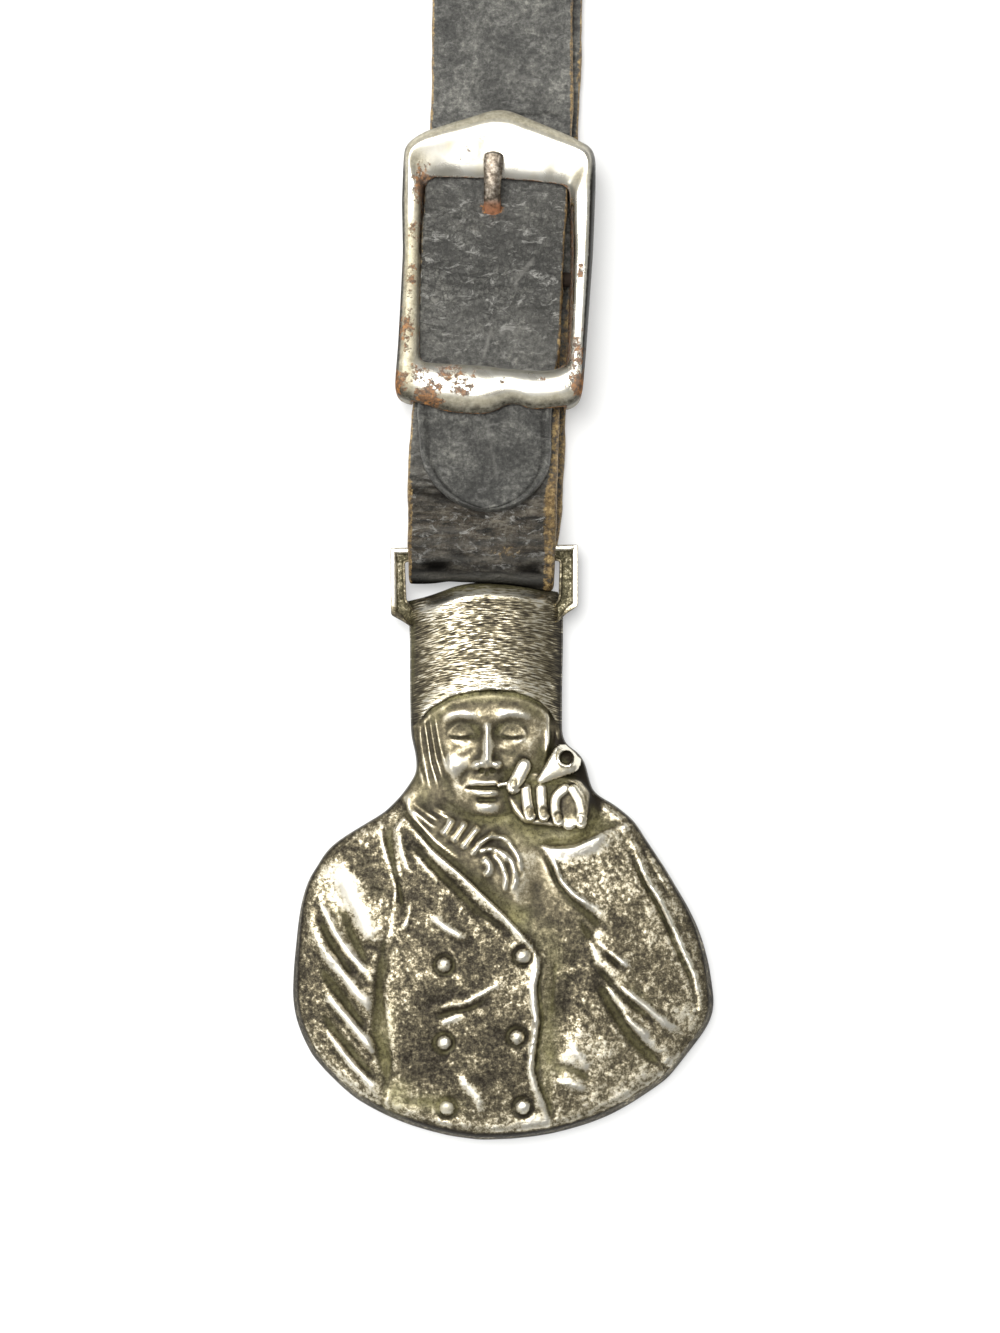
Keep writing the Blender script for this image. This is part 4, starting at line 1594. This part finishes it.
def frame_wear():
    """Dull plate near both edges of the section, and tarnish outermost, darkest down the right rail."""
    outer_dull = smooth_step(section_shares - round_the_frame(0.74, 0.90, 0.64, 0.62), 0, 0.12)
    outer_dull = outer_dull * round_the_frame(0.8, 0.1, 0.7, 0.85)
    inner_dull = 1 - smooth_step(section_shares - round_the_frame(0.06, -0.1, 0.1, 0.38), -0.12, 0)
    inner_dull = inner_dull * round_the_frame(0.4, 0, 0.3, 0.75)
    start = round_the_frame(0.88, 0.58, 0.76, 0.70)
    tarnish = smooth_step(section_shares, start, start + round_the_frame(0.12, 0.20, 0.16, 0.20))
    tarnish = tarnish * round_the_frame(0.4, 1.0, 0.7, 0.9)
    tables = []
    for face, on_wall in ((np.maximum(outer_dull, inner_dull), 0.6), (tarnish, 0.4)):
        table = np.zeros((len(face) + 1, FACE_POINTS + 2 * WALL_POINTS + BASE_POINTS + 1))
        table[:-1, :FACE_POINTS] = face
        table[-1] = table[0]
        table[:, FACE_POINTS:FACE_POINTS + WALL_POINTS] = on_wall
        tables.append(table)
    return tables


def make_buckle():
    """Stamped frame: domed top bar with a peak, round rails, and an uneven lower bar."""
    outer = frame_edge((buckle_top_px, buckle_right_px, buckle_bottom_px, buckle_left_px), 3)
    inner = frame_edge((window_top_px, window_right_px, window_bottom_px, window_left_px), 5)
    on_top = round_the_frame(1, 0, 0, 0, rounds=10)
    on_low = round_the_frame(0, 0, 1, 0, rounds=10)
    rises = top_rise * on_top + rail_rise * (1 - on_top - on_low) + low_rise * on_low
    table = np.array([frame_section(*station) for station in zip(inner, outer, rises)])
    table = np.concatenate([table, table[:, :1]], 1)
    table = np.concatenate([table, table[:1]], 0)
    piece, u, v = grid("buckle_frame_shell", table.shape[1], table.shape[0])
    x, y, z = table[v, u].T
    wobble = 0.03 * ripple(x, y, 3.0, 51) * (z > LIP_Z)
    place_points(piece, strap_to_row(x, y + BAR_PLACE, z + wobble))
    # The left rail is dull all over below its top, and both inner corners of the top bar are stained
    on_left = smooth_step(-x, 6.2, 6.8) * (1 - smooth_step(y, 2.5, 7.5))
    corners = np.maximum(bell(np.hypot(x + 7.2, y - 9.3), 1.6), bell(np.hypot(x - 7.2, y - 8.6), 1.4))
    dull, tarnish = frame_wear()
    store(piece, "dull", np.maximum(dull[v, u], np.maximum(0.9 * on_left, 0.8 * corners)))
    store(piece, "tarnish", tarnish[v, u])
    store(piece, "rust", frame_rust(x, y, z))
    close_up(piece)
    smooth = piece.modifiers.new("smooth", "SUBSURF")
    smooth.levels = smooth.render_levels = 1
    bpy.ops.object.modifier_apply(modifier=smooth.name)
    bpy.ops.object.shade_smooth_by_angle(angle=math.radians(45))
    return piece


PRONG_STATIONS = 120
PRONG_SIDES = 24
PRONG_SHIFT = -0.47

# Shank of the prong: place from the centre bar and height
prong_shank = [(1.6, 3.2), (3.6, 3.9), (5.2, 4.8), (6.4, 5.8), (7.4, 6.25), (8.6, 6.5), (10.3, 6.86)]


def make_prong():
    """Wire prong: its eye round the centre bar, a bent shank and a flattened tip."""
    route = arc((0, BAR_HEIGHT), 1.08, -60, -350, 26) + prong_shank
    line = eased(fine_line(np.array([(BAR_PLACE + along, height) for along, height in route]), 0.12), 6)
    length = run_along(line)[-1]
    places = length * (1 - (1 - np.linspace(0, 1, PRONG_STATIONS)) ** 1.6)
    centre = at_runs(line, places)
    ahead = np.gradient(centre, axis=0)
    ahead /= np.linalg.norm(ahead, axis=1)[:, None]
    # Half width and half thickness: thin in the eye, flat and rounded at the tip
    to_tip = length - places
    in_eye = smooth_step(to_tip, 9.6, 10.6)
    rounding = np.clip(1 - (1 - np.clip(to_tip / 0.45, 0, 1)) ** 3, 0.05, 1)
    wide = ((0.74 + 0.13 * bell(to_tip - 1.0, 1.3)) * (1 - in_eye) + 0.62 * in_eye) * rounding
    thick = ((0.5 - 0.14 * bell(to_tip, 1.2)) * (1 - in_eye) + 0.34 * in_eye) * rounding
    piece, u, v = grid("buckle_prong_wire", PRONG_SIDES + 1, PRONG_STATIONS)
    angle = 2 * math.pi * u / PRONG_SIDES
    shift = PRONG_SHIFT * smooth_step(centre[v, 0], BAR_PLACE + 2, BAR_PLACE + 7)
    across = wide[v] * np.cos(angle) + shift
    through = thick[v] * np.sign(np.sin(angle)) * np.abs(np.sin(angle)) ** 0.7
    along = centre[v, 0] - ahead[v, 1] * through
    place_points(piece, strap_to_row(across, along, centre[v, 1] + ahead[v, 0] * through))
    store(piece, "rust", 0.85 * smooth_step(to_tip[v], 3.6, 4.8) + 0.05)
    close_up(piece, fill_ends=True)
    return piece


STITCHES = 6
STITCH_PITCH = 1.8
STITCH_ROW = -6.2


def make_stitches():
    """Row of thread loops through the chape, each a closed flattened ring."""
    stitches = []
    for index in range(STITCHES):
        deselect()
        bpy.ops.mesh.primitive_torus_add(
            major_segments=28, minor_segments=10, major_radius=1.0 * MM, minor_radius=0.2 * MM,
            rotation=(math.pi / 2, 0, 0))
        piece = named(f"chape_stitch_{index + 1}")
        bpy.ops.object.transform_apply(rotation=True)
        ring = np.empty(len(piece.data.vertices) * 3)
        piece.data.vertices.foreach_get("co", ring)
        x, y, z = (ring.reshape(-1, 3) / MM).T
        middle = (index - (STITCHES - 1) / 2) * STITCH_PITCH - 0.3
        across = x * 0.58 * math.cos(STRAP_LEAN) + middle
        place_points(piece, strap_to_row(across, BAR_PLACE + STITCH_ROW + y, z * 0.84 + 2.33))
        bpy.ops.object.shade_smooth_by_angle(angle=math.radians(60))
        stitches.append(piece)
    return stitches


# Camera, light and floor


def make_camera():
    """Camera over the fob, at the distance and tilt that the photograph shows."""
    data = bpy.data.cameras.new("camera")
    camera = bpy.data.objects.new("camera", data)
    bpy.context.scene.collection.objects.link(camera)
    x, y = CAMERA_TARGET
    camera.location = Vector((
        x, y - CAMERA_DISTANCE * math.sin(CAMERA_TILT), CAMERA_DISTANCE * math.cos(CAMERA_TILT))) * MM
    camera.rotation_euler = (CAMERA_TILT, 0, 0)
    data.sensor_width = SENSOR
    data.lens = SENSOR * CAMERA_PX_PER_MM * CAMERA_DISTANCE / IMAGE_HEIGHT_PX
    data.clip_start = 0.01
    data.clip_end = 10.0
    bpy.context.scene.camera = camera


# Floor and lamps, in metres and watts: place from the target, size and power
FLOOR_SIZE = 6
LAMP_TARGET = Vector((0, -0.02, 0))
lamps = {"softbox": ((-0.14, 0.12, 0.60), 0.42, 5.4), "fill": ((-0.5, -0.30, 0.40), 0.3, 0.9)}


def make_light(name, place, size, power):
    """Square lamp that faces the fob."""
    data = bpy.data.lights.new(name, "AREA")
    data.size = size
    data.energy = power
    lamp = bpy.data.objects.new(name, data)
    bpy.context.scene.collection.objects.link(lamp)
    lamp.location = LAMP_TARGET + Vector(place)
    lamp.rotation_euler = (LAMP_TARGET - lamp.location).to_track_quat("-Z", "Y").to_euler()


def make_stage():
    """Pale floor, two lamps and a soft grey sky."""
    deselect()
    bpy.ops.mesh.primitive_plane_add(size=FLOOR_SIZE, location=(0, 0, 0))
    floor = named("floor")
    floor.data.materials.append(pale_floor())
    for name, (place, size, power) in lamps.items():
        make_light(name, place, size, power)
    world = bpy.data.worlds.new("studio")
    bpy.context.scene.world = world
    add = empty_tree(world)
    seen = add("LightPath", out="Is Camera Ray")
    strength = add("Math", [seen, 0.5, 0.42], operation="MULTIPLY_ADD")
    light = add("Background", {"Color": linear("#e6e7e7"), "Strength": strength})
    add("OutputWorld", [light])
    bpy.context.scene.view_settings.view_transform = "Standard"


# Build

make_camera()
make_stage()
bust = make_bust()
dress(bust, SILVER, "medallion", "aged_silver_plate", "medallion")
loop_plate = make_loop_plate()
dress(loop_plate, SILVER, "medallion", "aged_silver_plate")
buckle = make_buckle()
dress(buckle, NICKEL, "buckle", "nickel_plate", "buckle_frame")
prong = make_prong()
dress(prong, WIRE, "prong", "steel_wire", "buckle_prong")
strap = make_strap()
dress(strap, COWHIDE, None, "leather", "strap_lower_loop", "strap_tongue", "strap_upper_loop")
ahead = Vector((math.sin(STRAP_LEAN), math.cos(STRAP_LEAN), 0))
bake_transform(strap, "strap", "upper_strap", start=(bend_line - 3 * ahead) * MM, end=(bend_line + 3 * ahead) * MM)
stitches = make_stitches()
for stitch in stitches:
    dress(stitch, LINEN, "strap", "thread")
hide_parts("chape_stitching")
bar = frame["nodes"]["buckle_centre_bar"]
bar.data.materials.clear()
bar.data.materials.append(BAR_WIRE)
